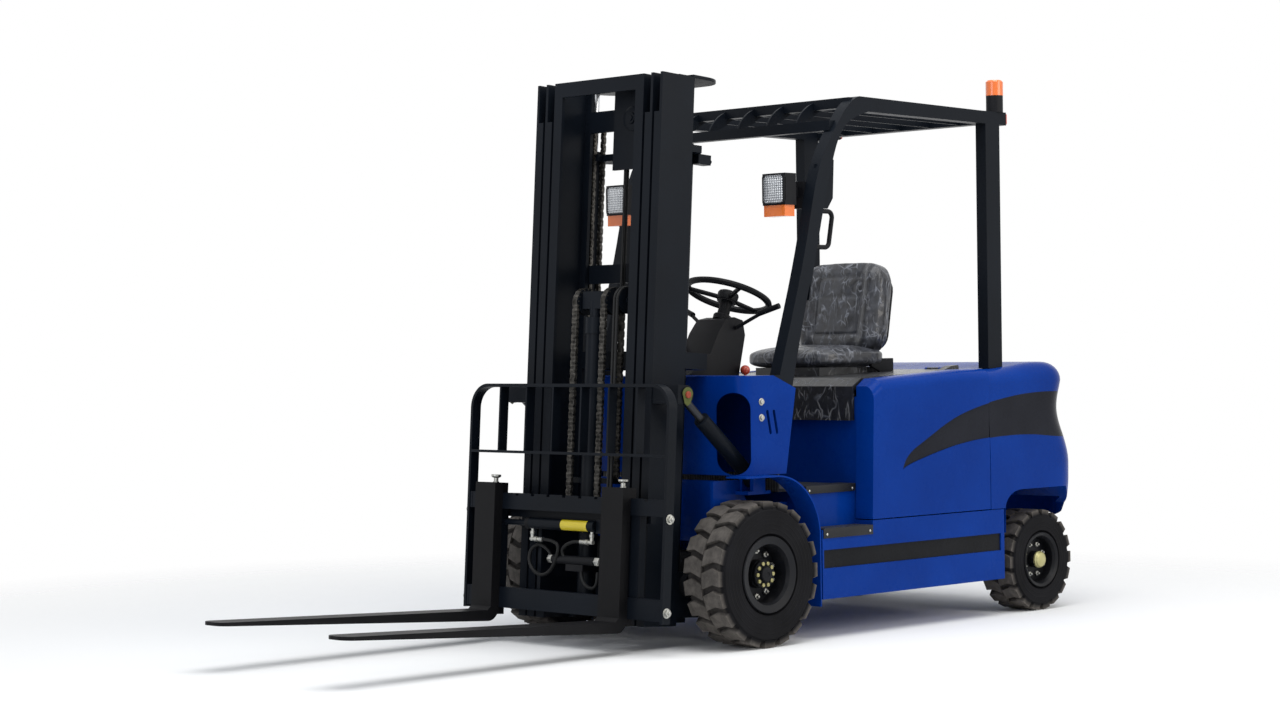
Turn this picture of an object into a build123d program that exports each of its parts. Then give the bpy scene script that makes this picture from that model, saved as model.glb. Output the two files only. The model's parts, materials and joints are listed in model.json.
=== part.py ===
from build123d import *
import math
import os

# Counterbalance forklift with four wheels, electric drive and a three-stage mast.
# All lengths are in millimetres and all angles in degrees. X points forward,
# Y to the driver's left and Z up. Sizes along X are measured from the front
# axle, and every finished piece is then moved so that the middle of the truck
# is at X = 0. The mast is modelled upright and leans back about its pivot.

# Wheels and axles
wheelbase = 1676.0
front_tyre_diameter = 530.0
front_tyre_width = 185.0
front_track = 1029.0
front_rim_diameter = 229.0
front_lug_count = 20
rear_tyre_diameter = 410.0
rear_tyre_width = 160.0
rear_track = 966.0
rear_rim_diameter = 203.0
rear_lug_count = 18
lug_depth = 16.0
rim_fit = 0.3
bead_share = 0.78
kingpin_track = 740.0
kingpin_radius = 12.0
pin_fit = 0.05
steer_swing_clearance = 10.0

# Body
body_width = 1150.0
skirt_bottom = 148.0
skirt_front = -322.0
skirt_top = 425.0
panel_front = -610.0
panel_rear = -1330.0
counterweight_rear = -1950.0
seam_gap = 4.0
cowl_width = 1030.0
cowl_front = 30.0
cowl_rear = -252.0
cowl_top = 980.0
cowl_sheet = 5.0
floor_height = 560.0
hood_top = 985.0
hood_sheet = 30.0
hood_width = 960.0
hood_hinge_x = -1322.0
hinge_radius = 8.0
hinge_pin_radius = 4.0
hinge_y = 300.0
hinge_length = 60.0
hinge_lug = 10.0
hood_hinge_z = hood_top - 1

# Overhead guard
guard_height = 2030.0
guard_inset = 5.0
guard_post_width = 50.0
guard_rear = -1545.0
pillar_foot_front = -172.0
pillar_foot_rear = -240.0
guard_bar_count = 5

# Seat and steering
seat_x = -945.0
seat_width = 460.0
seat_depth = 420.0
seat_base_rise = 14.7
seat_back_length = 350.0
steering_wheel_diameter = 350.0
steering_wheel_x = -440.0
steering_wheel_z = 1285.0
steering_wheel_tilt = 22.0

# Mast
mast_lean = 3.9
mast_pivot_x = 150.0
mast_pivot_z = 225.0
mast_width = 668.0
mast_top = 2073.0
mast_foot = 75.0
rail_front = 364.0
rail_depth = 165.0
rail_web = 12.0
rail_flange = 14.0
outer_flange_width = 37.0
middle_flange_width = 37.0
inner_flange_width = 43.0
rail_gap = 11.0
flange_opening = 143.0
roller_fit = 0.5

# Forks and carriage
fork_length = 1220.0
fork_width = 110.0
fork_thickness = 40.0
fork_underside = 55.0
fork_spacing = 684.0
fork_offset = -46.0
fork_bar_front = 465.0
fork_bar_depth = 40.0
fork_bar_half_width = 505.0
upper_bar_top = 533.0
upper_bar_height = 60.0
lower_bar_bottom = 106.0
lower_bar_height = 76.0
backrest_top = 940.0
backrest_half_width = 530.0

# Places worked out from the sizes above
front_axle_height = front_tyre_diameter / 2
rear_axle_height = rear_tyre_diameter / 2
half_body = body_width / 2
guard_width = cowl_width - 2 * guard_inset
lean = math.radians(mast_lean)
fork_tip_x = fork_bar_front + fork_thickness + fork_length
fork_tip_reach = (
    mast_pivot_x
    + (fork_tip_x - mast_pivot_x) * math.cos(lean)
    - (fork_underside - mast_pivot_z) * math.sin(lean)
)
middle_x = (fork_tip_reach + counterweight_rear) / 2

to_truck_frame = Location((-middle_x, 0, 0))
mast_pivot = Vector(mast_pivot_x, 0, mast_pivot_z)
leaned_back = to_truck_frame * Location(mast_pivot) * Location((0, 0, 0), (0, -mast_lean, 0)) * Location(-mast_pivot)


def side_plane(y):
    # A plane along the truck's side, whose sketches extrude towards -Y.
    return Plane.XZ.offset(-y)


def slab(plane, points, amount, mode=Mode.ADD):
    # One closed outline of straight edges, extruded.
    with BuildSketch(plane) as outline:
        with BuildLine():
            Polyline(*points, close=True)
        make_face()
    extrude(outline.sketch, amount=amount, mode=mode)


def block(x_low, x_high, y_low, y_high, z_low, z_high, mode=Mode.ADD):
    # A rectangular block between two corners.
    with Locations((x_low, y_low, z_low)):
        Box(
            x_high - x_low,
            y_high - y_low,
            z_high - z_low,
            align=(Align.MIN, Align.MIN, Align.MIN),
            mode=mode,
        )


def rod(start, end, radius, mode=Mode.ADD):
    # A round bar between two points.
    axis = Vector(*end) - Vector(*start)
    with BuildSketch(Plane(origin=start, z_dir=axis)) as section:
        Circle(radius)
    extrude(section.sketch, amount=axis.length, mode=mode)


def keep(builder, label, place=to_truck_frame):
    # Names a finished piece, puts it in its place on the truck and writes it.
    piece = builder.part.moved(place)
    piece.label = label
    export_step(piece, f"parts/{label}.step")


os.makedirs("parts", exist_ok=True)


# Tyres
def tyre_body(diameter, width, rim_diameter, flange_diameter, lug_count):
    # A solid cushion tyre about the Z axis, with two rows of slanted lugs.
    radius = diameter / 2
    base = radius - lug_depth
    half = width / 2
    bead = rim_diameter / 2 + rim_fit
    flange = flange_diameter / 2 + rim_fit
    pitch = 360 / lug_count
    lug_long = 2 * math.pi * radius / lug_count * 0.74
    with BuildPart() as body:
        with BuildSketch(Plane.XZ) as section:
            with BuildLine():
                Polyline(
                    (bead, -half * bead_share),
                    (flange, -half * bead_share),
                    (flange + 8, -half),
                    (base * 0.93, -half),
                    (base, -half * 0.8),
                    (base, half * 0.8),
                    (base * 0.93, half),
                    (flange + 8, half),
                    (flange, half * bead_share),
                    (bead, half * bead_share),
                    close=True,
                )
            make_face()
        revolve(section.sketch, axis=Axis.Z)
    lug_corner = math.degrees(lug_long * 0.62 / radius)
    lug_top = radius * math.cos(math.radians(lug_corner))
    bury = lug_depth * 0.6
    with BuildPart() as lug:
        for side in (1, -1):
            turn = 0 if side > 0 else pitch / 2
            radial = Vector(math.cos(math.radians(turn)), math.sin(math.radians(turn)), 0)
            foot = Plane(origin=radial * lug_top, x_dir=(0, 0, 1), z_dir=-radial)
            with BuildSketch(foot) as outline:
                with BuildLine():
                    Polyline(
                        (side * half * 0.02, -lug_long * 0.30),
                        (side * half * 0.55, -lug_long * 0.62),
                        (side * half * 0.94, -lug_long * 0.40),
                        (side * half * 0.94, lug_long * 0.42),
                        (side * half * 0.55, lug_long * 0.34),
                        (side * half * 0.02, lug_long * 0.62),
                        close=True,
                    )
                make_face()
            extrude(outline.sketch, amount=lug_depth + bury, taper=-4)
    with BuildPart() as tyre:
        add(body.part)
        with PolarLocations(0, lug_count):
            add(lug.part)
    return tyre.part


def rim_body(rim_diameter, width, flange_diameter, dish_depth, hub_radius, spindle_radius):
    # A pressed wheel about the Z axis, outer face towards +Z, hollow behind its disc.
    half = width / 2
    outer = rim_diameter / 2
    inner = outer - 10
    disc = half - dish_depth
    with BuildPart() as rim:
        with BuildSketch(Plane.XZ) as section:
            with BuildLine():
                Polyline(
                    (spindle_radius + pin_fit, disc - 12),
                    (inner, disc - 12),
                    (inner, -half * 0.9),
                    (outer, -half * 0.9),
                    (outer, half * (bead_share + 0.01)),
                    (flange_diameter / 2 - 6, half * (bead_share + 0.01)),
                    (flange_diameter / 2, half * 0.96),
                    (flange_diameter / 2 - 3, half + 2),
                    (outer - 4, half * 0.95),
                    (inner, half * 0.8),
                    (inner, disc),
                    (hub_radius, disc + 4),
                    (hub_radius, disc + 30),
                    (spindle_radius + pin_fit, disc + 30),
                    close=True,
                )
            make_face()
        revolve(section.sketch, axis=Axis.Z)
    return rim.part


front_dish = 75.0
rear_dish = 50.0
front_hub_radius = 52.0
rear_hub_radius = 34.0
front_spindle_radius = 40.0
rear_spindle_radius = 20.0
front_flange_diameter = 280.0
rear_flange_diameter = 224.0
front_tyre_shape = tyre_body(
    front_tyre_diameter, front_tyre_width, front_rim_diameter, front_flange_diameter, front_lug_count
)
rear_tyre_shape = tyre_body(
    rear_tyre_diameter, rear_tyre_width, rear_rim_diameter, rear_flange_diameter, rear_lug_count
)
front_rim_shape = rim_body(
    front_rim_diameter, front_tyre_width, front_flange_diameter, front_dish, front_hub_radius, front_spindle_radius
)
rear_rim_shape = rim_body(
    rear_rim_diameter, rear_tyre_width, rear_flange_diameter, rear_dish, rear_hub_radius, rear_spindle_radius
)

for side, side_name in ((1, "left"), (-1, "right")):
    front_place = Location((0, side * front_track / 2, front_axle_height), (-90 * side, 0, 0))
    rear_place = Location((-wheelbase, side * rear_track / 2, rear_axle_height), (-90 * side, 0, 0))
    for shape, label, place in (
        (front_tyre_shape, f"front_tyre_{side_name}", front_place),
        (front_rim_shape, f"front_rim_{side_name}", front_place),
        (rear_tyre_shape, f"rear_tyre_{side_name}", rear_place),
        (rear_rim_shape, f"rear_rim_{side_name}", rear_place),
    ):
        with BuildPart() as wheel_piece:
            add(shape.moved(place))
        keep(wheel_piece, label)

# Steered knuckles: kingpin, post and spindle
knuckle_half_height = 40.0
knuckle_radius = 22.0
ear_thickness = 12.0
ear_gap = 1.0
hub_start = 28.0
kingpin_y = kingpin_track / 2
rear_disc_y = rear_track / 2 + rear_tyre_width / 2 - rear_dish
spindle_end_y = rear_disc_y + 30 + 6
for side, side_name in ((1, "left"), (-1, "right")):
    with BuildPart() as knuckle:
        rod(
            (-wheelbase, side * kingpin_y, rear_axle_height - knuckle_half_height),
            (-wheelbase, side * kingpin_y, rear_axle_height + knuckle_half_height),
            knuckle_radius,
        )
        rod(
            (-wheelbase, side * kingpin_y, rear_axle_height - knuckle_half_height - ear_gap - ear_thickness),
            (-wheelbase, side * kingpin_y, rear_axle_height + knuckle_half_height + ear_gap + ear_thickness),
            kingpin_radius,
        )
        rod(
            (-wheelbase, side * (kingpin_y + hub_start), rear_axle_height),
            (-wheelbase, side * (rear_disc_y - 12.5), rear_axle_height),
            rear_hub_radius,
        )
        rod(
            (-wheelbase, side * kingpin_y, rear_axle_height),
            (-wheelbase, side * spindle_end_y, rear_axle_height),
            rear_spindle_radius,
        )
    keep(knuckle, f"knuckle_{side_name}")

# Steer axle beam with forked ends and the steering cylinder along it
ear_radius = 24.0
neck_half_depth = 20.0
neck_length = 125.0
beam_half_height = 48.0
beam_half_depth = 42.0
beam_half_length = kingpin_y - neck_length
tail_bottom = 330.0
with BuildPart() as steer_axle:
    block(
        -wheelbase - beam_half_depth,
        -wheelbase + beam_half_depth,
        -beam_half_length,
        beam_half_length,
        rear_axle_height - beam_half_height,
        rear_axle_height + beam_half_height,
    )
    for side in (1, -1):
        for level in (1, -1):
            low = rear_axle_height + level * (knuckle_half_height + ear_gap + ear_thickness / 2) - ear_thickness / 2
            with BuildSketch(Plane.XY.offset(low)) as ear:
                with Locations((-wheelbase, side * kingpin_y)):
                    Circle(ear_radius)
                with Locations((-wheelbase, side * (kingpin_y - neck_length / 2))):
                    Rectangle(2 * neck_half_depth, neck_length)
                with Locations((-wheelbase, side * kingpin_y)):
                    Circle(kingpin_radius + pin_fit, mode=Mode.SUBTRACT)
            extrude(ear.sketch, amount=ear_thickness)
        near = side * (beam_half_length - 10)
        far = side * (kingpin_y - knuckle_radius - 8)
        block(
            -wheelbase - neck_half_depth,
            -wheelbase + neck_half_depth,
            min(near, far),
            max(near, far),
            rear_axle_height - knuckle_half_height - ear_gap - ear_thickness,
            rear_axle_height + knuckle_half_height + ear_gap + ear_thickness,
        )
    rod(
        (-wheelbase + beam_half_depth + 30, -150, rear_axle_height),
        (-wheelbase + beam_half_depth + 30, 150, rear_axle_height),
        32,
    )
    block(-wheelbase - 60, -wheelbase + 60, -70, 70, rear_axle_height + beam_half_height, tail_bottom - 0.3)
keep(steer_axle, "steer_axle")

# Drive axle with its motor and gearbox
hub_face_y = front_track / 2 + front_tyre_width / 2 - front_dish
with BuildPart() as drive_axle:
    rod((0, -hub_face_y + 12.5, front_axle_height), (0, hub_face_y - 12.5, front_axle_height), 70)
    rod((0, -hub_face_y - 40, front_axle_height), (0, hub_face_y + 40, front_axle_height), front_spindle_radius)
    rod((0, -120, front_axle_height), (0, 60, front_axle_height), 95)
    rod((-30, -330, front_axle_height + 10), (-30, -60, front_axle_height + 10), 92)
keep(drive_axle, "drive_axle")

# Mast pivots: a plate on each end of the drive axle, with a pin through the mast's foot
outer_mast_y = mast_width / 2
foot_thickness = 24.0
foot_radius = 46.0
mast_pin_radius = 22.0
pivot_plate_thickness = 28.0
pivot_plate_gap = 6.0
pivot_plate_y = outer_mast_y + pivot_plate_gap
axle_cut_radius = 70.3
with BuildPart() as pivot_plates:
    for side in (1, -1):
        near = pivot_plate_y if side > 0 else -pivot_plate_y - pivot_plate_thickness
        with BuildSketch(Plane.XZ.offset(-(near + pivot_plate_thickness))) as plate:
            with Locations((mast_pivot_x, mast_pivot_z)):
                Circle(foot_radius)
            with Locations((0, front_axle_height)):
                Circle(100)
            with BuildLine():
                Polyline(
                    (0, front_axle_height + 95),
                    (mast_pivot_x, mast_pivot_z + foot_radius),
                    (mast_pivot_x, mast_pivot_z - foot_radius),
                    (0, front_axle_height - 95),
                    close=True,
                )
            make_face()
            with Locations((0, front_axle_height)):
                Circle(axle_cut_radius, mode=Mode.SUBTRACT)
        extrude(plate.sketch, amount=pivot_plate_thickness)
        rod(
            (mast_pivot_x, side * (outer_mast_y - foot_thickness - 2), mast_pivot_z),
            (mast_pivot_x, side * (pivot_plate_y + 1), mast_pivot_z),
            mast_pin_radius,
        )
keep(pivot_plates, "mast_pivot_plates")

# Chassis: side skirts, floor pan, wheel well walls and the battery bay's front wall
well_wall_y = 400.0
well_wall = 14.0
well_front = 75.0
skirt_rear = -1415.0
skirt_inner_y = 450.0
stripe_bottom = 262.0
stripe_top = 330.0
stripe_depth = 6.0
pan_height = 52.0
fender_top = 618.0
fender_radius = 235.0
fender_rear = -315.0
fender_sheet = 6.0
step_height = 410.0
step_inner_y = 490.0
bay_wall = 12.0
front_panel_low = 372.0
bay_wall_x = panel_front - 16
bay_wall_y = 487.7
bay_wall_top = 890.0
weight_front = panel_rear - seam_gap
steer_sweep = math.hypot(rear_tyre_diameter / 2, rear_track / 2 + rear_tyre_width / 2 - kingpin_y)
tilt_pin_y = 430.0
tilt_pin_radius = 14.0
tilt_eye_width = 34.0
tilt_barrel_x = -100.0
tilt_barrel_z = 600.0
lug_floor = 545.0
lug_floor_thickness = 12.0
lug_gap = 4.0
lug_plate = 16.0
with BuildPart() as chassis:
    block(skirt_rear, skirt_front, -skirt_inner_y - 1, skirt_inner_y + 1, skirt_bottom, skirt_bottom + pan_height)
    for side in (1, -1):
        low = side * half_body if side < 0 else skirt_inner_y
        high = -skirt_inner_y if side < 0 else half_body
        block(skirt_rear, panel_front, low, high, skirt_bottom, skirt_top)
        block(panel_front, skirt_front, low, high, skirt_bottom, step_height - 5)
        edge = half_body - stripe_depth if side > 0 else -half_body - 1
        block(
            skirt_rear + 22,
            skirt_front - 8,
            edge,
            edge + stripe_depth + 1,
            stripe_bottom,
            stripe_top,
            mode=Mode.SUBTRACT,
        )
        inner = side * (well_wall_y - well_wall / 2)
        with BuildSketch(Plane.XZ.offset(-(inner + well_wall / 2))) as wall:
            with BuildLine():
                Polyline(
                    (skirt_front, skirt_bottom),
                    (well_front, skirt_bottom + 30),
                    (well_front, fender_top - 20),
                    (-60, fender_top - 20),
                    (-110, 505),
                    (skirt_front, 505),
                    close=True,
                )
            make_face()
            with Locations((0, front_axle_height)):
                Circle(axle_cut_radius, mode=Mode.SUBTRACT)
        extrude(wall.sketch, amount=well_wall)
        for plate_y in (
            tilt_pin_y - tilt_eye_width / 2 - lug_gap - lug_plate,
            tilt_pin_y + tilt_eye_width / 2 + lug_gap,
        ):
            edge = plate_y if side > 0 else -plate_y - lug_plate
            with BuildSketch(Plane.XZ.offset(-(edge + lug_plate))) as ear:
                with Locations((tilt_barrel_x, tilt_barrel_z)):
                    Circle(32)
                with Locations((tilt_barrel_x, (tilt_barrel_z + lug_floor) / 2)):
                    Rectangle(64, tilt_barrel_z - lug_floor)
            extrude(ear.sketch, amount=lug_plate)
        reach = tilt_eye_width / 2 + lug_gap + 1
        rod(
            (tilt_barrel_x, side * (tilt_pin_y - reach), tilt_barrel_z),
            (tilt_barrel_x, side * (tilt_pin_y + reach), tilt_barrel_z),
            tilt_pin_radius,
        )
        far = tilt_pin_y + tilt_eye_width / 2 + lug_gap + lug_plate
        low = well_wall_y - well_wall if side > 0 else -far
        block(
            tilt_barrel_x - 60,
            tilt_barrel_x + 60,
            low,
            low + far - well_wall_y + well_wall,
            lug_floor,
            lug_floor + lug_floor_thickness,
        )
    block(cowl_front - 12, cowl_front, -well_wall_y + 1, well_wall_y - 1, front_panel_low, fender_top - 20)
    block(skirt_front - 14, skirt_front, -step_inner_y, step_inner_y, skirt_bottom, 548)
    block(bay_wall_x - 1, skirt_front - 14, -step_inner_y + 5, step_inner_y - 5, step_height - 5, 548)
    for side in (1, -1):
        with BuildSketch(Plane.XY.offset(skirt_bottom - 1)) as swing:
            with Locations((-wheelbase, side * kingpin_y)):
                Circle(steer_sweep + steer_swing_clearance)
        extrude(swing.sketch, amount=skirt_top - skirt_bottom + 2, mode=Mode.SUBTRACT)
    for front in (bay_wall_x, weight_front + 0.3 + bay_wall):
        block(front - bay_wall, front, -bay_wall_y, bay_wall_y, skirt_bottom + pan_height - 1, bay_wall_top)
keep(chassis, "chassis")

# Floor plate with its toe board, and steps
toe_x = -200.0
toe_half_width = 470.0
floor_sheet = 12.0
cowl_floor = fender_top + 0.5
with BuildPart() as floor_plate:
    block(panel_front - 8, skirt_front - 0.3, -step_inner_y + 5, step_inner_y - 5, floor_height - floor_sheet, floor_height)
    block(skirt_front, toe_x, -toe_half_width, toe_half_width, floor_height - floor_sheet, floor_height)
    block(toe_x - 5, toe_x, -toe_half_width, toe_half_width, floor_height + 0.3, cowl_floor - 0.3)
    for side in (1, -1):
        low = step_inner_y + 3 if side > 0 else -half_body + 2
        high = half_body - 2 if side > 0 else -step_inner_y - 3
        block(panel_front + 12, skirt_front - 16, low, high, step_height - 5, step_height)
keep(floor_plate, "floor_plates")

# Front fenders
fender_centre_x = fender_rear + fender_radius
fender_centre_z = fender_top - fender_radius
fender_front = 85.0
fender_bottom = 123.0
fender_inner_y = 475.0
with BuildPart() as fenders:
    for side in (1, -1):
        near = half_body if side > 0 else -fender_inner_y
        with BuildSketch(side_plane(near)) as arch:
            with BuildLine():
                Line((fender_front, fender_top), (fender_centre_x, fender_top))
                CenterArc((fender_centre_x, fender_centre_z), fender_radius, 90, 90)
                Polyline(
                    (fender_rear, fender_centre_z),
                    (fender_rear, fender_bottom),
                    (fender_rear + fender_sheet, fender_bottom),
                    (fender_rear + fender_sheet, fender_centre_z),
                )
                CenterArc((fender_centre_x, fender_centre_z), fender_radius - fender_sheet, 180, -90)
                Polyline(
                    (fender_centre_x, fender_top - fender_sheet),
                    (fender_front, fender_top - fender_sheet),
                    (fender_front, fender_top),
                )
            make_face()
        extrude(arch.sketch, amount=half_body - fender_inner_y)
keep(fenders, "front_fenders")

# Cowl: a sheet box with a rounded slot for each tilt cylinder
slot_height = 298.0
slot_width = 122.0
slot_middle_z = 770.0
slot_offset = 35.0
cowl_chamfer_x = -131.0
cowl_chamfer_drop = 49.0
half_cowl = cowl_width / 2
cowl_outline = (
    (cowl_front, cowl_floor),
    (cowl_front, cowl_top),
    (cowl_chamfer_x, cowl_top),
    (cowl_rear, cowl_top - cowl_chamfer_drop),
    (cowl_rear + 57, cowl_floor),
)
with BuildPart() as cowl:
    slab(side_plane(half_cowl), cowl_outline, cowl_width)
    fillet(cowl.edges().filter_by(Axis.Z).group_by(Axis.X)[-1], 50)
    offset(amount=-cowl_sheet, openings=cowl.faces().sort_by(Axis.Z)[0])
    for side in (1, -1):
        corner = Vector(cowl_front, side * half_cowl, slot_middle_z)
        outward = Vector(1, side, 0).normalized()
        along = Vector(1, -side, 0).normalized()
        slot_plane = Plane(origin=corner + along * slot_offset, x_dir=along, z_dir=outward)
        with BuildSketch(slot_plane) as slot:
            RectangleRounded(slot_width, slot_height, slot_width / 2 - 2)
        extrude(slot.sketch, amount=130, both=True, mode=Mode.SUBTRACT)
    for slot_x in (-105, -140):
        with BuildSketch(Plane.XZ.offset(-half_cowl - 1)) as vent:
            with Locations(Location((slot_x, 810, 0), (0, 0, -12))):
                SlotOverall(92, 13, rotation=90)
        extrude(vent.sketch, amount=cowl_width + 2, mode=Mode.SUBTRACT)
keep(cowl, "cowl")

# Battery, side panels, hood with the seat, counterweight
swoosh_depth = 4.0


def swoosh_recess():
    # A shallow curved flash that runs from the side panel into the counterweight.
    for side in (1, -1):
        face = half_body + 1 if side > 0 else -half_body + swoosh_depth
        with BuildSketch(side_plane(face)) as flash:
            with BuildLine():
                Spline((-791, 609), (-905, 706), (-1120, 800), (-1440, 868), (-1797, 885), tangents=((-0.3, 1), (-1, 0)))
                Line((-1797, 885), (-1797, 702))
                Spline((-1797, 702), (-1440, 716), (-1120, 690), (-905, 645), (-791, 609), tangents=((1, 0.04), (1, -0.5)))
            make_face()
        extrude(flash.sketch, amount=swoosh_depth + 1, mode=Mode.SUBTRACT)


battery_front = bay_wall_x - bay_wall - 8
battery_rear = panel_rear + 20
with BuildPart() as battery:
    block(battery_rear, battery_front, -440, 440, skirt_bottom + pan_height, 900)
keep(battery, "battery")

panel_bottom = skirt_top + seam_gap
panel_inner_y = 488.0
with BuildPart() as side_panels:
    for side in (1, -1):
        near = half_body if side > 0 else -panel_inner_y
        with BuildPart(mode=Mode.PRIVATE) as panel:
            slab(
                side_plane(near),
                (
                    (panel_front, panel_bottom),
                    (panel_front - 16, 930),
                    (panel_front - 60, 958),
                    (-1180, 985),
                    (panel_rear, 985),
                    (panel_rear, panel_bottom),
                ),
                half_body - panel_inner_y,
            )
            top_edges = panel.edges().filter_by(GeomType.LINE).group_by(Axis.Y)[-1 if side > 0 else 0]
            fillet(top_edges.sort_by(Axis.Z)[-3:], 45)
        add(panel.part)
    swoosh_recess()
keep(side_panels, "side_panels")

hood_front = panel_front + 6
hood_shoulder_z = 962.0
hood_rear = hood_hinge_x + 12
half_hood = hood_width / 2
latch_y = 435.0
latch_width = 34.0
with BuildPart() as hood:
    slab(
        side_plane(half_hood),
        (
            (hood_front, 800),
            (hood_front - 8, 930),
            (hood_front - 60, hood_shoulder_z),
            (hood_rear, hood_top),
            (hood_rear, hood_top - hood_sheet),
            (hood_front - 60, hood_shoulder_z - hood_sheet),
            (hood_front - 19, 915),
            (hood_front - 16, 800),
        ),
        hood_width,
    )
    for side in (1, -1):
        near = side * hinge_y - hinge_length / 2
        block(hood_hinge_x, hood_rear + 1, near, near + hinge_length, hood_hinge_z - hinge_radius, hood_hinge_z)
        rod((hood_hinge_x, near, hood_hinge_z), (hood_hinge_x, near + hinge_length, hood_hinge_z), hinge_radius)
        rod(
            (hood_hinge_x, near - 1, hood_hinge_z),
            (hood_hinge_x, near + hinge_length + 1, hood_hinge_z),
            hinge_pin_radius + pin_fit,
            mode=Mode.SUBTRACT,
        )
    slab(
        side_plane(latch_y + latch_width / 2),
        (
            (hood_rear + 15, hood_top - 2),
            (hood_rear + 20, hood_top + 16),
            (hood_rear + 60, hood_top + 14),
            (hood_rear + 125, hood_top - 6),
        ),
        latch_width,
    )
keep(hood, "hood")

seat_base_half = 170.0
cushion_thickness = 70.0
seat_base_top = hood_top + seat_base_rise


def hood_surface(x):
    # Height of the hood's top at one place along the truck.
    return hood_shoulder_z + (hood_top - hood_shoulder_z) * (hood_front - 60 - x) / (hood_front - 60 - hood_rear)


with BuildPart() as seat_base:
    slab(
        side_plane(seat_base_half),
        (
            (seat_x - 190, hood_surface(seat_x - 190) + 0.3),
            (seat_x - 190, seat_base_top),
            (seat_x + 170, seat_base_top),
            (seat_x + 170, hood_surface(seat_x + 170) + 0.3),
        ),
        2 * seat_base_half,
    )
keep(seat_base, "seat_base")

with BuildPart() as seat_cushion:
    with BuildSketch(Plane.XY.offset(seat_base_top + 0.3)) as seat_plan:
        with Locations((seat_x, 0)):
            RectangleRounded(seat_depth, seat_width, 110)
    extrude(seat_plan.sketch, amount=cushion_thickness)
    chamfer(seat_cushion.edges().group_by(Axis.Z)[-1], 22)
keep(seat_cushion, "seat_cushion")

back_x = -1100.0
back_foot = seat_base_top + 0.3 + cushion_thickness + 0.3
backrest_height = back_foot + seat_back_length
with BuildPart() as seat_back:
    slab(
        side_plane(215),
        (
            (back_x + 52, back_foot),
            (back_x - 10, backrest_height - 20),
            (back_x - 70, backrest_height),
            (back_x - 85, backrest_height - 30),
            (back_x - 62, back_foot),
        ),
        430,
    )
    fillet(seat_back.edges().filter_by(Axis.Y).group_by(Axis.Z)[-1], 20)
keep(seat_back, "seat_back")

# Counterweight: full width above the wheels, a narrower tail below, wells for the wheels
plan_corner = 150.0
weight_bottom = 500.0
tail_reach = math.sqrt((rear_tyre_diameter / 2) ** 2 - (362 - rear_axle_height) ** 2)
tail_sweep = math.hypot(tail_reach, rear_track / 2 + rear_tyre_width / 2 - kingpin_y) + steer_swing_clearance
with BuildPart() as counterweight:
    with BuildSketch(Plane.XY.offset(300)) as plan:
        with Locations(((weight_front + counterweight_rear) / 2, 0)):
            Rectangle(weight_front - counterweight_rear, body_width)
        fillet(plan.vertices().group_by(Axis.X)[0], plan_corner)
    extrude(plan.sketch, amount=800)
    with BuildSketch(side_plane(half_body + 10)) as profile:
        with BuildLine():
            Polyline(
                (weight_front, panel_bottom),
                (weight_front, hood_top),
                (-1525, hood_top),
                (-1700, 1008),
                (-1800, 1010),
                (-1880, 970),
                (-1905, 925),
                (-1880, 850),
                (-1880, 800),
                (-1925, 690),
                (counterweight_rear, 620),
                (counterweight_rear, 500),
                (-1915, 362),
                (-1700, tail_bottom),
                (-1430, tail_bottom),
                (-1425, panel_bottom),
                close=True,
            )
        make_face()
    extrude(profile.sketch, amount=body_width + 20, mode=Mode.INTERSECT)
    for side in (1, -1):
        for radius, low, high in ((steer_sweep + steer_swing_clearance, 300, 362), (tail_sweep, 362, 450)):
            with BuildSketch(Plane.XY.offset(low)) as well:
                with Locations((-wheelbase, side * kingpin_y)):
                    Circle(radius)
            extrude(well.sketch, amount=high - low, mode=Mode.SUBTRACT)
        low = 300 if side > 0 else -half_body - 10
        block(-wheelbase - 225, -wheelbase + 250, low, low + half_body - 290, 300, weight_bottom - 2, mode=Mode.SUBTRACT)
    swoosh_recess()
    for side in (1, -1):
        for near in (side * hinge_y - hinge_length / 2 - hinge_lug - 1, side * hinge_y + hinge_length / 2 + 1):
            block(weight_front - 1, hood_hinge_x, near, near + hinge_lug, hood_hinge_z - hinge_radius, hood_hinge_z + hinge_radius)
            rod((hood_hinge_x, near, hood_hinge_z), (hood_hinge_x, near + hinge_lug, hood_hinge_z), hinge_radius)
        reach = hinge_length / 2 + hinge_lug + 1
        rod(
            (hood_hinge_x, side * hinge_y - reach, hood_hinge_z),
            (hood_hinge_x, side * hinge_y + reach, hood_hinge_z),
            hinge_pin_radius,
        )
keep(counterweight, "counterweight")

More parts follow.
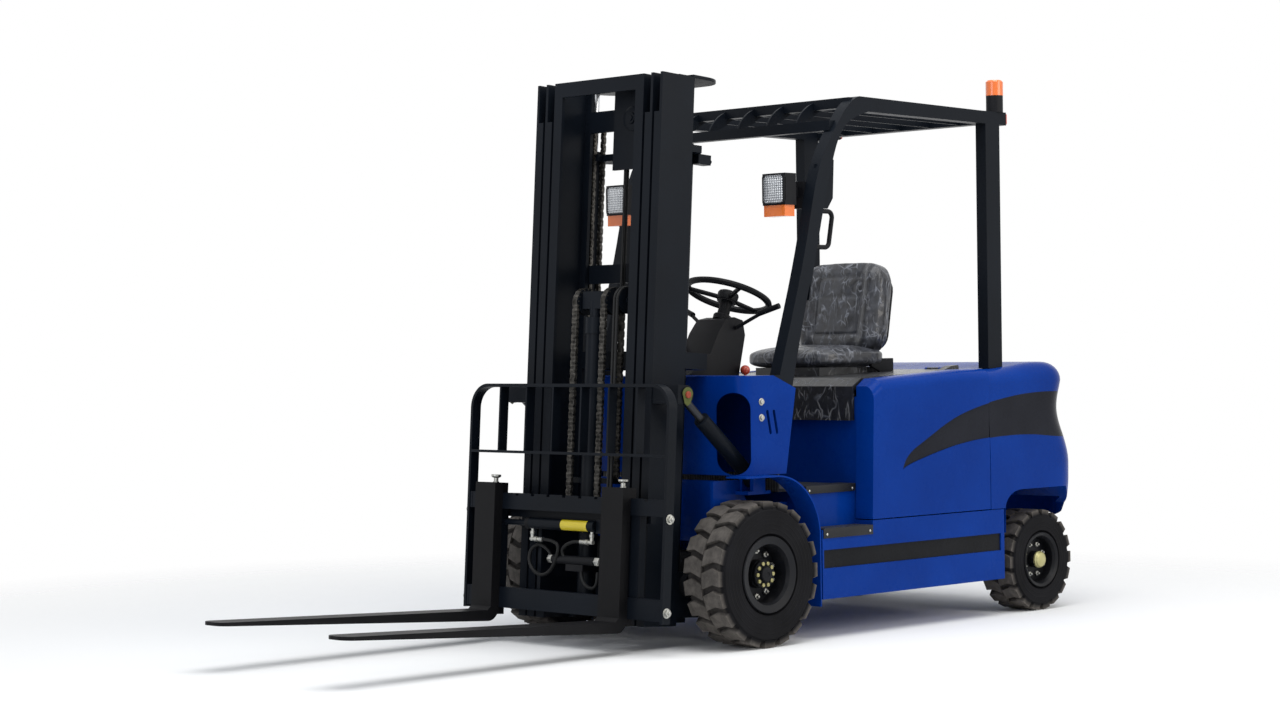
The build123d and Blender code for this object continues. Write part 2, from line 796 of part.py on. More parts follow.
# Overhead guard: tapered curved pillars, roof rails, rear posts, front grille and roof bars
half_guard = guard_width / 2
rail_height = 56.0
guard_post_front = guard_rear + 45 + 90
bar_thickness = 8.0
bar_depth = 34.0
bracket_plate = 10.0
low_bar_x = -500.0
low_bar_z = 1915.0
rail_drop = 14.0
foot_rear_z = cowl_top + 0.3 - cowl_chamfer_drop * (cowl_chamfer_x - pillar_foot_rear) / (cowl_chamfer_x - cowl_rear)
with BuildPart() as guard:
    for side in (1, -1):
        near = half_guard if side > 0 else -half_guard + guard_post_width
        with BuildSketch(side_plane(near)) as frame_side:
            with BuildLine():
                Polyline(
                    (pillar_foot_rear, foot_rear_z),
                    (cowl_chamfer_x, cowl_top + 0.3),
                    (pillar_foot_front, cowl_top + 0.3),
                )
                Spline(
                    (pillar_foot_front, cowl_top + 0.3),
                    (-340, 1519),
                    (-419, 1782),
                    (-523, 1936),
                    (-640, guard_height),
                    tangents=((-0.32, 1), (-1, 0.25)),
                )
                Polyline(
                    (-640, guard_height),
                    (guard_post_front + 20, guard_height - rail_drop),
                    (guard_rear, guard_height - rail_drop),
                    (guard_rear, guard_height - rail_height - 10),
                    (-690, guard_height - rail_height),
                )
                Spline(
                    (-690, guard_height - rail_height),
                    (-575, 1930),
                    (-480, 1775),
                    (-338, 1259),
                    (pillar_foot_rear, foot_rear_z),
                    tangents=((1, -0.3), (0.26, -1)),
                )
            make_face()
        extrude(frame_side.sketch, amount=guard_post_width)
        low = half_guard - guard_post_width if side > 0 else -half_guard
        block(guard_rear + 45, guard_post_front, low, low + guard_post_width, hood_top + 0.5, guard_height - 30)
        plate_face = half_guard - 18 if side > 0 else -half_guard + 18 + bracket_plate
        slab(
            side_plane(plate_face),
            ((-405, 1765), (-508, 1785), (-500, 1640), (-470, 1600), (-400, 1600)),
            bracket_plate,
        )
    block(low_bar_x - 25, low_bar_x + 15, -half_guard + 20, half_guard - 20, low_bar_z - 20, low_bar_z + 18)
    block(-640, -600, -half_guard + 20, half_guard - 20, guard_height - 42, guard_height - 4)
    block(guard_rear, guard_rear + 50, -half_guard + 20, half_guard - 20, guard_height - rail_height, guard_height - 16)
    bar_step = (guard_width - 2 * guard_post_width) / (guard_bar_count + 1)
    for index in range(guard_bar_count):
        middle = -half_guard + guard_post_width + bar_step * (index + 1)
        with BuildSketch(side_plane(middle + bar_thickness / 2)) as fin:
            with BuildLine():
                Spline((low_bar_x + 2, low_bar_z), (-545, 1985), (-625, guard_height - 8), tangents=((-0.3, 1), (-1, 0.2)))
                Polyline(
                    (-625, guard_height - 8),
                    (guard_rear + 10, guard_height - 20),
                    (guard_rear + 10, guard_height - 20 - bar_depth),
                    (-650, guard_height - 8 - bar_depth),
                )
                Spline((-650, guard_height - 8 - bar_depth), (-585, 1955), (low_bar_x - 20, low_bar_z), tangents=((1, -0.2), (0.4, -1)))
                Line((low_bar_x - 20, low_bar_z), (low_bar_x + 2, low_bar_z))
            make_face()
        extrude(fin.sketch, amount=bar_thickness)
keep(guard, "overhead_guard")

# Grab handle on the left pillar
handle_radius = 9.0
handle_y = half_guard - guard_post_width / 2
with BuildPart() as grab_handle:
    with BuildLine() as handle_path:
        FilletPolyline(
            (-426.8, handle_y, 1590),
            (-505, handle_y, 1590),
            (-478, handle_y, 1455),
            (-401.8, handle_y, 1455),
            radius=22,
        )
    with BuildSketch(Plane(origin=(-426.8, handle_y, 1590), z_dir=(-1, 0, 0))) as handle_section:
        RegularPolygon(handle_radius, 10)
    sweep(handle_section.sketch, path=handle_path.line)
keep(grab_handle, "grab_handle")

# Beacon on the rear left corner
beacon_x = guard_rear + 42
beacon_y = half_guard - guard_post_width / 2
with BuildPart() as beacon_base:
    rod((beacon_x, beacon_y, guard_height - rail_drop), (beacon_x, beacon_y, 2083), 34)
keep(beacon_base, "beacon_base")
with BuildPart() as beacon_lens:
    rod((beacon_x, beacon_y, 2083), (beacon_x, beacon_y, 2145), 35)
    chamfer(beacon_lens.edges().sort_by(Axis.Z)[-1], 7)
keep(beacon_lens, "beacon_lens")

# Head lamps with their brackets and indicator lamps
lamp_x = -250.0
lamp_y = 420.0
lamp_width = 112.0
lamp_depth = 62.0
lamp_low = 1610.0
lamp_high = 1728.0
indicator_low = 1568.0
with BuildPart() as lamps:
    for side in (1, -1):
        low = side * lamp_y - lamp_width / 2
        block(lamp_x - lamp_depth, lamp_x, low, low + lamp_width, lamp_low, lamp_high)
        near = side * lamp_y - 15
        block(lamp_x - 200, lamp_x - lamp_depth, near, near + 30, 1640, 1680)
        near = side * lamp_y - 15 if side > 0 else -half_guard + guard_post_width
        far = half_guard - guard_post_width if side > 0 else -lamp_y + 15
        block(lamp_x - 200, lamp_x - 120, near, far, 1600, 1700)
keep(lamps, "head_lamps")
with BuildPart() as indicators:
    for side in (1, -1):
        low = side * lamp_y - lamp_width / 2 + 4
        block(lamp_x - lamp_depth + 6, lamp_x - 2, low, low + lamp_width - 8, indicator_low, lamp_low)
keep(indicators, "indicator_lamps")

# Steering column, wheel and levers
tilt_angle = math.radians(steering_wheel_tilt)
wheel_centre = Vector(steering_wheel_x, 0, steering_wheel_z)
wheel_axis = Vector(-math.sin(tilt_angle), 0, math.cos(tilt_angle))
shaft_radius = 14.0
shaft_end = wheel_centre - wheel_axis * 12
shaft_start = wheel_centre - wheel_axis * 120
column_half_width = 75.0
with BuildPart() as column:
    slab(
        side_plane(column_half_width),
        (
            (cowl_chamfer_x, cowl_top + 0.4),
            (-300, 1115),
            (-345, 1190),
            (-450, 1190),
            (-455, 1110),
            (-330, 1000),
            (cowl_rear, cowl_top - cowl_chamfer_drop + 0.4),
        ),
        2 * column_half_width,
    )
    fillet(column.edges().filter_by(Axis.Y), 8)
    rod(shaft_start, shaft_end, shaft_radius)
keep(column, "steering_column")

with BuildPart() as levers:
    for side in (1, -1):
        rod((-395, side * (column_half_width + 0.3), 1160), (-395, side * 90, 1160), 8)
        rod((-395, side * 86, 1160), (-430, side * 200, 1220), 7)
        rod((-424, side * 176, 1212), (-446, side * 262, 1240), 11)
keep(levers, "control_levers")

rim_bar = 13.0
hub_plane = Plane(origin=wheel_centre - wheel_axis * 28, x_dir=(0, 1, 0), z_dir=wheel_axis)
with BuildPart() as steering_wheel:
    with BuildSketch(Plane(origin=wheel_centre, x_dir=(0, 1, 0), z_dir=wheel_axis.cross(Vector(0, 1, 0)))) as rim_section:
        with Locations((steering_wheel_diameter / 2 - rim_bar, 0)):
            RegularPolygon(rim_bar, 8)
    revolve(rim_section.sketch, axis=Axis(wheel_centre, wheel_axis))
    with BuildSketch(hub_plane) as hub_section:
        Circle(38)
    extrude(hub_section.sketch, amount=36)
    for turn in (90, 210, 330):
        out = Vector(0, 1, 0).rotate(Axis((0, 0, 0), wheel_axis), turn)
        rod(wheel_centre - wheel_axis * 12 + out * 25, wheel_centre + out * (steering_wheel_diameter / 2 - rim_bar), 9)
    rod(shaft_start + wheel_axis * 40, shaft_end + wheel_axis * 2, shaft_radius + pin_fit, mode=Mode.SUBTRACT)
keep(steering_wheel, "steering_wheel")

# Mast rails: three nested channels on each side, all opening towards the middle
rail_back = rail_front - rail_depth
roller_radius = rail_depth / 2 - rail_flange - roller_fit
roller_x = rail_back + rail_depth / 2
outer_y = outer_mast_y
middle_y = outer_y - outer_flange_width - rail_gap
inner_y = middle_y - middle_flange_width - rail_gap
inner_tip_y = inner_y - inner_flange_width


def mast_rails(outside_y, flange_width, open_top=0.0):
    # Both channels of one mast stage, with the front flange cut away over the open top.
    for side in (1, -1):
        with BuildSketch(Plane.XY.offset(mast_foot)) as channel:
            with Locations((roller_x, side * (outside_y - flange_width / 2))):
                Rectangle(rail_depth, flange_width)
            with Locations((roller_x, side * (outside_y - rail_web - flange_width / 2))):
                Rectangle(rail_depth - 2 * rail_flange, flange_width, mode=Mode.SUBTRACT)
        extrude(channel.sketch, amount=mast_top - mast_foot)
        if open_top:
            low = side * (outside_y - rail_web - flange_width / 2) - flange_width / 2
            block(
                rail_front - rail_flange - 1,
                rail_front + 1,
                low,
                low + flange_width,
                mast_top - open_top,
                mast_top + 1,
                mode=Mode.SUBTRACT,
            )


def guide_rollers(height, inside_y, outside_y):
    # A roller on each side that runs in the next stage's channel.
    for side in (1, -1):
        rod((roller_x, side * inside_y, height), (roller_x, side * outside_y, height), roller_radius)


lift_barrel_x = 146.0
lift_barrel_y = 248.0
lift_barrel_radius = 29.0
lift_rod_radius = 18.0
lift_rod_gap = 0.5
bridge_x = 85.0
clamp_rear = 34.0
clamp_front = 174.0
bridge_depth = 25.0
tilt_eye_x = 315.9
tilt_eye_z = 908.3
with BuildPart() as outer_mast:
    mast_rails(outer_y, outer_flange_width, flange_opening)
    for low, high in ((105, 185), (1008, 1068)):
        block(bridge_x, bridge_x + bridge_depth, -outer_y, outer_y, low, high)
        for side in (1, -1):
            near = outer_y - 28 if side > 0 else -outer_y
            block(bridge_x, rail_back + 1, near, near + 28, low, high)
    with BuildSketch(Plane.XY.offset(1800)) as clamp_plate:
        with BuildLine():
            Line((clamp_front, outer_y), (clamp_front, -outer_y))
            Polyline((clamp_front, -outer_y), (150, -outer_y), (60, -220))
            ThreePointArc((60, -220), (clamp_rear, 0), (60, 220))
            Polyline((60, 220), (150, outer_y), (clamp_front, outer_y))
        make_face()
        with Locations((clamp_front, 0)):
            Rectangle(50, 2 * 190, mode=Mode.SUBTRACT)
        for side in (1, -1):
            with Locations(((clamp_front + rail_back) / 2, side * (outer_y - 15))):
                Rectangle(rail_back - clamp_front + 2, 30)
    extrude(clamp_plate.sketch, amount=26)
    for side in (1, -1):
        near = side * 285 - 20
        block(70, 135, near, near + 40, 1764, 1801)
        rod((52, side * 285, 1780), (71, side * 285, 1780), 7)
    for side in (1, -1):
        rod(
            (lift_barrel_x, side * lift_barrel_y, mast_foot + 20),
            (lift_barrel_x, side * lift_barrel_y, 1840),
            lift_barrel_radius,
        )
        block(lift_barrel_x - 28, lift_barrel_x + 28, min(side * 216, side * 300), max(side * 216, side * 300), 85, 105)
        near = outer_y - foot_thickness if side > 0 else -outer_y
        with BuildSketch(side_plane(near + foot_thickness)) as foot:
            with Locations((mast_pivot_x, mast_pivot_z)):
                Circle(foot_radius)
            with Locations(((mast_pivot_x + rail_back) / 2, mast_pivot_z)):
                Rectangle(rail_back - mast_pivot_x + 2, 2 * foot_radius)
            with Locations((mast_pivot_x, mast_pivot_z)):
                Circle(mast_pin_radius + pin_fit, mode=Mode.SUBTRACT)
        extrude(foot.sketch, amount=foot_thickness)
        reach = tilt_pin_y + tilt_eye_width / 2 + lug_gap
        for plate_y in (outer_y, reach):
            thickness = tilt_pin_y - tilt_eye_width / 2 - lug_gap - outer_y if plate_y == outer_y else 12
            edge = plate_y if side > 0 else -plate_y - thickness
            with BuildSketch(side_plane(edge + thickness)) as ear:
                with Locations((tilt_eye_x, tilt_eye_z)):
                    Circle(34)
                with Locations((tilt_eye_x + 20, tilt_eye_z)):
                    Rectangle(40, 68)
            extrude(ear.sketch, amount=thickness)
        low = outer_y if side > 0 else -reach - 12
        block(tilt_eye_x + 35, tilt_eye_x + 45, low, low + reach + 12 - outer_y, tilt_eye_z - 34, tilt_eye_z + 34)
        rod(
            (tilt_eye_x, side * outer_y, tilt_eye_z),
            (tilt_eye_x, side * (reach + 12), tilt_eye_z),
            tilt_pin_radius,
        )
    for side in (1, -1):
        rod(
            (lift_barrel_x, side * lift_barrel_y, mast_foot + 60),
            (lift_barrel_x, side * lift_barrel_y, 1850),
            lift_rod_radius + lift_rod_gap,
            mode=Mode.SUBTRACT,
        )
keep(outer_mast, "outer_mast", leaned_back)

# Middle mast with its ties and the lift rods
tie_thickness = 12.0
tie_rear = 20.0
tie_front = 190.0
middle_plate_x = 180.0
middle_plate_depth = 14.0
with BuildPart() as middle_mast:
    mast_rails(middle_y, middle_flange_width, flange_opening)
    for low, high in ((110, 210), (1330, 1400)):
        block(middle_plate_x, middle_plate_x + middle_plate_depth, -middle_y + 2, middle_y - 2, low, high)
        for side in (1, -1):
            near = middle_y - middle_flange_width if side > 0 else -middle_y + 2
            block(middle_plate_x, rail_back + 1, near, near + middle_flange_width - 2, low, high)
    guide_rollers(170, middle_y - 1, outer_y - rail_web - roller_fit)
    with BuildSketch(Plane.XY.offset(mast_top)) as tie:
        with BuildLine():
            Line((tie_front, middle_y), (tie_front, -middle_y))
            Line((tie_front, -middle_y), (tie_front - 12, -middle_y - 30))
            ThreePointArc((tie_front - 12, -middle_y - 30), (tie_rear, 0), (tie_front - 12, middle_y + 30))
            Line((tie_front - 12, middle_y + 30), (tie_front, middle_y))
        make_face()
        for side in (1, -1):
            with Locations((tie_front + 20, side * (middle_y - middle_flange_width / 2))):
                Rectangle(42, middle_flange_width)
    extrude(tie.sketch, amount=tie_thickness)
keep(middle_mast, "middle_mast", leaned_back)

lift_rod_low = 350.0
with BuildPart() as lift_rods:
    for side in (1, -1):
        rod(
            (lift_barrel_x, side * lift_barrel_y, lift_rod_low),
            (lift_barrel_x, side * lift_barrel_y, mast_top),
            lift_rod_radius,
        )
keep(lift_rods, "lift_rods", leaned_back)

# Inner mast with the free-lift cylinder between its rails
free_x = 335.0
free_barrel_radius = 35.0
free_rod_radius = 24.0
free_barrel_low = 140.0
free_barrel_top = 1190.0
chain_y = 75.0
sheave_radius = 46.0
sheave_x = free_x - 13
sheave_z = 1250.0
chain_thickness = 12.0
chain_width = 20.0
anchor_z = 600.0
hanger_x = 240.0
hanger_low = 1746.0
hanger_sheave_z = 1934.0
with BuildPart() as inner_mast:
    mast_rails(inner_y, inner_flange_width)
    for low, high in ((110, 190), (1010, 1072), (1900, 1980)):
        block(rail_back, rail_back + 14, -inner_tip_y - 3, inner_tip_y + 3, low, high)
    guide_rollers(170, inner_y - 1, middle_y - rail_web - roller_fit)
    block(rail_back, free_x + 30, -55, 55, 110, free_barrel_low)
    block(rail_front - 12, rail_front, -inner_tip_y - 3, inner_tip_y + 3, mast_top - 55, mast_top)
    block(hanger_x, hanger_x + 10, -30, 142, hanger_low, mast_top)
    block(hanger_x, rail_front - 1, -30, 142, mast_top - 12, mast_top)
    rod((rail_back + 6, 70, hanger_sheave_z), (hanger_x + 18, 70, hanger_sheave_z), 12)
    rod((rail_back + 10, 70, hanger_sheave_z), (hanger_x - 4, 70, hanger_sheave_z), 45)
keep(inner_mast, "inner_mast", leaned_back)

with BuildPart() as free_barrel:
    rod((free_x, 0, free_barrel_low), (free_x, 0, free_barrel_top), free_barrel_radius)
    rod((free_x, 0, free_barrel_top - 60), (free_x, 0, free_barrel_top), free_barrel_radius + 5)
    block(sheave_x - sheave_radius - 14, free_x, -chain_y - 16, chain_y + 16, anchor_z - 20, anchor_z)
    rod((free_x, 0, 400), (free_x, 0, free_barrel_top + 1), free_rod_radius + lift_rod_gap, mode=Mode.SUBTRACT)
keep(free_barrel, "free_lift_barrel", leaned_back)

hose_sheave_y = 140.0
with BuildPart() as crosshead:
    rod((free_x, 0, 430), (free_x, 0, sheave_z), free_rod_radius)
    block(free_x - 36, free_x + 22, -52, 52, sheave_z - 28, sheave_z + 36)
    rod((sheave_x, -chain_y - 18, sheave_z), (sheave_x, hose_sheave_y + 18, sheave_z), 12)
    for middle, radius in ((-chain_y, sheave_radius), (chain_y, sheave_radius), (hose_sheave_y, sheave_radius - 2)):
        with BuildSketch(Plane.XZ.offset(-(middle + 14))) as flange:
            with Locations((sheave_x, sheave_z)):
                Circle(radius - chain_thickness / 2)
        extrude(flange.sketch, amount=28)
        for edge in (middle + 14, middle - 10.5):
            with BuildSketch(Plane.XZ.offset(-edge)) as flange:
                with Locations((sheave_x, sheave_z)):
                    Circle(radius + 4)
            extrude(flange.sketch, amount=3.5)
keep(crosshead, "lift_crosshead", leaned_back)

# Lift chains: over the sheaves, down in front to the carriage and down behind to the barrel
carriage_anchor_z = 470.0
chain_outer = sheave_radius + chain_thickness / 2
chain_inner = sheave_radius - chain_thickness / 2 + 0.3
with BuildPart() as chains:
    for side in (1, -1):
        with BuildSketch(Plane.XZ.offset(-(side * chain_y + chain_width / 2))) as chain:
            with BuildLine():
                Line((sheave_x + chain_outer, carriage_anchor_z), (sheave_x + chain_outer, sheave_z))
                CenterArc((sheave_x, sheave_z), chain_outer, 0, 180)
                Polyline(
                    (sheave_x - chain_outer, sheave_z),
                    (sheave_x - chain_outer, anchor_z),
                    (sheave_x - chain_inner, anchor_z),
                    (sheave_x - chain_inner, sheave_z),
                )
                CenterArc((sheave_x, sheave_z), chain_inner, 180, -180)
                Polyline(
                    (sheave_x + chain_inner, sheave_z),
                    (sheave_x + chain_inner, carriage_anchor_z),
                    (sheave_x + chain_outer, carriage_anchor_z),
                )
            make_face()
        extrude(chain.sketch, amount=chain_width)
keep(chains, "lift_chains", leaned_back)

# Carriage, side shifter with its cylinder, load backrest and forks
carriage_back = 385.0
carriage_front = 412.0
plate_y = inner_tip_y - 9
carriage_plate_top = 518.0
with BuildPart() as carriage:
    for side in (1, -1):
        near = plate_y - 18 if side > 0 else -plate_y
        block(rail_back + 24, carriage_front, near, near + 18, 112, carriage_plate_top)
        for height in (190, 460):
            rod(
                (roller_x, side * (plate_y - 1), height),
                (roller_x, side * (inner_y - rail_web - roller_fit), height),
                roller_radius,
            )
        low = side * chain_y - 15
        block(rail_front - 6, carriage_front, low, low + 30, carriage_anchor_z - 25, carriage_anchor_z - 0.3)
    block(carriage_back, carriage_front, -400, 400, 445, 525)
    block(carriage_back, carriage_front, -400, 400, 118, 175)
    block(carriage_front, 440, 148.5, 172, 400, 450)
keep(carriage, "carriage", leaned_back)

shift_x = 438.0
shift_z = 425.0
shift_barrel_low = -213.0
shift_barrel_high = 148.0
shift_rod_radius = 11.0
shift_plate_y = 342.0
with BuildPart() as shift_barrel:
    rod((shift_x, shift_barrel_low, shift_z), (shift_x, shift_barrel_high, shift_z), 21)
    rod((shift_x, shift_barrel_low - 1, shift_z), (shift_x, shift_barrel_high - 20, shift_z), shift_rod_radius + lift_rod_gap, mode=Mode.SUBTRACT)
keep(shift_barrel, "side_shift_barrel", leaned_back)

bar_back = fork_bar_front - fork_bar_depth
lower_bar_top = lower_bar_bottom + lower_bar_height
hook_step = 13.0
notch_count = 11
notch_pitch = 85.0
notch_width = 16.0
notch_depth = 9.0
with BuildPart() as shifter:
    slab(
        Plane.YZ.offset(bar_back),
        (
            (-fork_bar_half_width, upper_bar_top - upper_bar_height),
            (fork_bar_half_width, upper_bar_top - upper_bar_height),
            (fork_bar_half_width, upper_bar_top - hook_step),
            (-fork_bar_half_width, upper_bar_top - hook_step),
        ),
        fork_bar_depth,
    )
    block(fork_bar_front - 14, fork_bar_front, -fork_bar_half_width, fork_bar_half_width, upper_bar_top - hook_step - 1, upper_bar_top)
    for index in range(notch_count):
        middle = (index - (notch_count - 1) / 2) * notch_pitch
        block(
            fork_bar_front - 15,
            fork_bar_front + 1,
            middle - notch_width / 2,
            middle + notch_width / 2,
            upper_bar_top - notch_depth,
            upper_bar_top + 1,
            mode=Mode.SUBTRACT,
        )
    block(bar_back, fork_bar_front, -fork_bar_half_width, fork_bar_half_width, lower_bar_bottom, lower_bar_top)
    for side in (1, -1):
        near = shift_plate_y if side > 0 else -shift_plate_y - 50
        block(bar_back, fork_bar_front - 8, near, near + 50, lower_bar_top - 1, upper_bar_top - upper_bar_height + 1)
        near = 250 if side > 0 else -330
        block(carriage_back + 2, bar_back + 1, near, near + 80, 525.5, upper_bar_top)
        block(carriage_front + 0.5, bar_back + 1, near, near + 80, 495, 530)
        block(carriage_front + 0.5, bar_back + 1, near, near + 80, 125, 170)
        block(bar_back, bar_back + 10, near, near + 80, 510, upper_bar_top)
    rod((shift_x, -shift_plate_y - 10, shift_z), (shift_x, -40, shift_z), shift_rod_radius)
keep(shifter, "side_shifter", leaned_back)

backrest_bar = 12.0
backrest_back = 429.0
backrest_front = 469.0
backrest_low = 98.0
backrest_mid = 681.0
backrest_corner = 90.0
with BuildPart() as backrest:
    with BuildSketch(Plane.YZ.offset(backrest_back)) as arch:
        with BuildLine():
            FilletPolyline(
                (-backrest_half_width, backrest_low),
                (-backrest_half_width, backrest_top),
                (backrest_half_width, backrest_top),
                (backrest_half_width, backrest_low),
                radius=backrest_corner,
            )
            Line((backrest_half_width, backrest_low), (backrest_half_width - backrest_bar, backrest_low))
            FilletPolyline(
                (backrest_half_width - backrest_bar, backrest_low),
                (backrest_half_width - backrest_bar, backrest_top - backrest_bar),
                (-backrest_half_width + backrest_bar, backrest_top - backrest_bar),
                (-backrest_half_width + backrest_bar, backrest_low),
                radius=backrest_corner - backrest_bar,
            )
            Line((-backrest_half_width + backrest_bar, backrest_low), (-backrest_half_width, backrest_low))
        make_face()
    extrude(arch.sketch, amount=backrest_front - backrest_back)
    block(
        backrest_back,
        backrest_front,
        -backrest_half_width + 1,
        backrest_half_width - 1,
        backrest_mid,
        backrest_mid + 10,
    )
    for middle in (-365, -220, -75, 75, 220, 365):
        block(backrest_back, backrest_front, middle - 4, middle + 4, backrest_mid + 1, backrest_top - 1)
    for side in (1, -1):
        near = fork_bar_half_width + 0.3 if side > 0 else -backrest_half_width + 1
        width = backrest_half_width - fork_bar_half_width - 1.3
        for low, high in ((lower_bar_bottom, lower_bar_top), (upper_bar_top - upper_bar_height, upper_bar_top)):
            block(backrest_back + 3, backrest_front - 3, near, near + width, low, high)
keep(backrest, "load_backrest", leaned_back)

fork_fit = 0.5
shank_back = fork_bar_front + fork_fit
shank_front = shank_back + fork_thickness
shank_top = 570.0
heel_radius = 50.0
hook_back = bar_back + 10.5
fork_tip_thickness = 12.0
fork_middles = (fork_offset + fork_spacing / 2, fork_offset - fork_spacing / 2)
for middle, side_name in zip(fork_middles, ("left", "right")):
    with BuildPart() as fork:
        with BuildSketch(side_plane(middle + fork_width / 2)) as outline:
            with BuildLine():
                Polyline(
                    (shank_back, fork_underside + heel_radius),
                    (shank_back, shank_top),
                    (shank_front, shank_top),
                    (shank_front, fork_underside + fork_thickness + 14),
                    (shank_front + 14, fork_underside + fork_thickness),
                    (shank_back + fork_thickness + fork_length, fork_underside + fork_tip_thickness),
                    (shank_back + fork_thickness + fork_length, fork_underside),
                    (shank_back + heel_radius, fork_underside),
                )
                CenterArc((shank_back + heel_radius, fork_underside + heel_radius), heel_radius, 270, -90)
            make_face()
        extrude(outline.sketch, amount=fork_width)
        tip_edges = fork.edges().filter_by(Axis.Z).group_by(Axis.X)[-1]
        fillet(tip_edges, 40)
        block(hook_back, shank_back + 1, middle - 50, middle + 50, upper_bar_top + fork_fit, shank_top)
        block(
            hook_back,
            fork_bar_front - 14 - fork_fit,
            middle - 50,
            middle + 50,
            upper_bar_top - hook_step + fork_fit,
            upper_bar_top + fork_fit + 1,
        )
        block(fork_bar_front - 30, shank_back + 1, middle - 50, middle + 50, lower_bar_bottom - 26, lower_bar_bottom - fork_fit)
        rod((fork_bar_front - 12, middle, shank_top - 1), (fork_bar_front - 12, middle, shank_top + 20), 8)
        rod((fork_bar_front - 12, middle, shank_top + 20), (fork_bar_front - 12, middle, shank_top + 28), 15)
    keep(fork, f"fork_{side_name}", leaned_back)

# Tilt cylinders: barrels pinned inside the cowl, rods pinned to the mast
eye_world = leaned_back * Location((tilt_eye_x, 0, tilt_eye_z))
eye_x = eye_world.position.X + middle_x
eye_z = eye_world.position.Z
tilt_run = math.hypot(eye_x - tilt_barrel_x, eye_z - tilt_barrel_z)
tilt_direction = Vector(eye_x - tilt_barrel_x, 0, eye_z - tilt_barrel_z).normalized()
tilt_foot = Vector(tilt_barrel_x, 0, tilt_barrel_z)
tilt_barrel_length = 348.0
tilt_rod_radius = 15.0
tilt_eye_clearance = 5.0
with BuildPart() as tilt_barrels:
    for side in (1, -1):
        across = Vector(0, side * tilt_pin_y, 0)
        rod(tilt_foot + across, tilt_foot + across + tilt_direction * 45, 16)
        rod(tilt_foot + across + tilt_direction * 40, tilt_foot + across + tilt_direction * tilt_barrel_length, 29)
        rod(
            tilt_foot + across + Vector(0, -tilt_eye_width / 2, 0),
            tilt_foot + across + Vector(0, tilt_eye_width / 2, 0),
            30,
        )
        rod(
            tilt_foot + across - Vector(0, tilt_eye_width, 0),
            tilt_foot + across + Vector(0, tilt_eye_width, 0),
            tilt_pin_radius + pin_fit,
            mode=Mode.SUBTRACT,
        )
        rod(
            tilt_foot + across + tilt_direction * 60,
            tilt_foot + across + tilt_direction * (tilt_barrel_length + 1),
            tilt_rod_radius + lift_rod_gap,
            mode=Mode.SUBTRACT,
        )
keep(tilt_barrels, "tilt_barrels")
with BuildPart() as tilt_rods:
    for side in (1, -1):
        across = Vector(0, side * tilt_pin_y, 0)
        rod(tilt_foot + across + tilt_direction * 200, tilt_foot + across + tilt_direction * (tilt_run - 20), tilt_rod_radius)
        eye = tilt_foot + across + tilt_direction * tilt_run
        rod(eye + Vector(0, -tilt_eye_width / 2, 0), eye + Vector(0, tilt_eye_width / 2, 0), 29)
        rod(
            eye - Vector(0, tilt_eye_width, 0),
            eye + Vector(0, tilt_eye_width, 0),
            tilt_pin_radius + tilt_eye_clearance,
            mode=Mode.SUBTRACT,
        )
keep(tilt_rods, "tilt_rods")
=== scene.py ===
import json
import math
import bpy
import bmesh
from mathutils import Matrix, Vector
from mathutils import noise as noiseKit


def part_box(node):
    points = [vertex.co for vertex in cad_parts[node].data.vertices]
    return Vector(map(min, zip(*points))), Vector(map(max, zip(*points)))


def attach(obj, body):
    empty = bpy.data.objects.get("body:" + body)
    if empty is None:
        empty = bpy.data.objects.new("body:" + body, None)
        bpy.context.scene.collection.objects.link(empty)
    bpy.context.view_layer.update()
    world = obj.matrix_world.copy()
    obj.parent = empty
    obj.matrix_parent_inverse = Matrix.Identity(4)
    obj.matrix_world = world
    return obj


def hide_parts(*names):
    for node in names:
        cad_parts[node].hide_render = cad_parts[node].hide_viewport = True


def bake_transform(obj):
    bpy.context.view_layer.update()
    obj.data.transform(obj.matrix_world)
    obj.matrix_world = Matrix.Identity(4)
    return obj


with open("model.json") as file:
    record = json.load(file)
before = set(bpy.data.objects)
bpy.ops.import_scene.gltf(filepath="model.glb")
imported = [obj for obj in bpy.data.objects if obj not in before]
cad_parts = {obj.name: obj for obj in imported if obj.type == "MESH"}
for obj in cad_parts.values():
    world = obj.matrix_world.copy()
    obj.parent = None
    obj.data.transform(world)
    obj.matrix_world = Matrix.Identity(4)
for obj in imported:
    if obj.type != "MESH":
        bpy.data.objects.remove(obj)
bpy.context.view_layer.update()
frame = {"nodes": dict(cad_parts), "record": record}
print("frame loaded")

# Places are measured from the front axle and from the upright mast, as on a drawing
axleShift = 0.108542
mastPivot = Vector((0.150, 0.0, 0.225))
mastLean = math.radians(3.9)
truckFrame = Matrix.Translation((axleShift, 0.0, 0.0))
mastFrame = (
    truckFrame
    @ Matrix.Translation(mastPivot)
    @ Matrix.Rotation(-mastLean, 4, "Y")
    @ Matrix.Translation(-mastPivot)
)
acrossMast = mastFrame.to_3x3() @ Vector((0, 1, 0))
# Stands an outline of (along, up) pairs on edge, with its thickness across the truck
upright = Matrix(((1, 0, 0, 0), (0, 0, 1, 0), (0, 1, 0, 0), (0, 0, 0, 1)))


def onTruck(x, y, z):
    return truckFrame @ Vector((x, y, z))


def onMast(x, y, z):
    return mastFrame @ Vector((x, y, z))


# Camera
cameraData = bpy.data.cameras.new("camera")
camera = bpy.data.objects.new("camera", cameraData)
bpy.context.scene.collection.objects.link(camera)
bpy.context.scene.camera = camera
camera.location = onTruck(6.8863, 6.9442, 1.0947)
camera.rotation_euler = [math.radians(a) for a in (89.686, 0.761, 135.4215)]
cameraData.sensor_width = 36.0
cameraData.lens = 73.13
cameraData.dof.use_dof = False
cameraData.clip_end = 200.0

scene = bpy.context.scene
scene.view_settings.view_transform = "Standard"
scene.view_settings.look = "None"


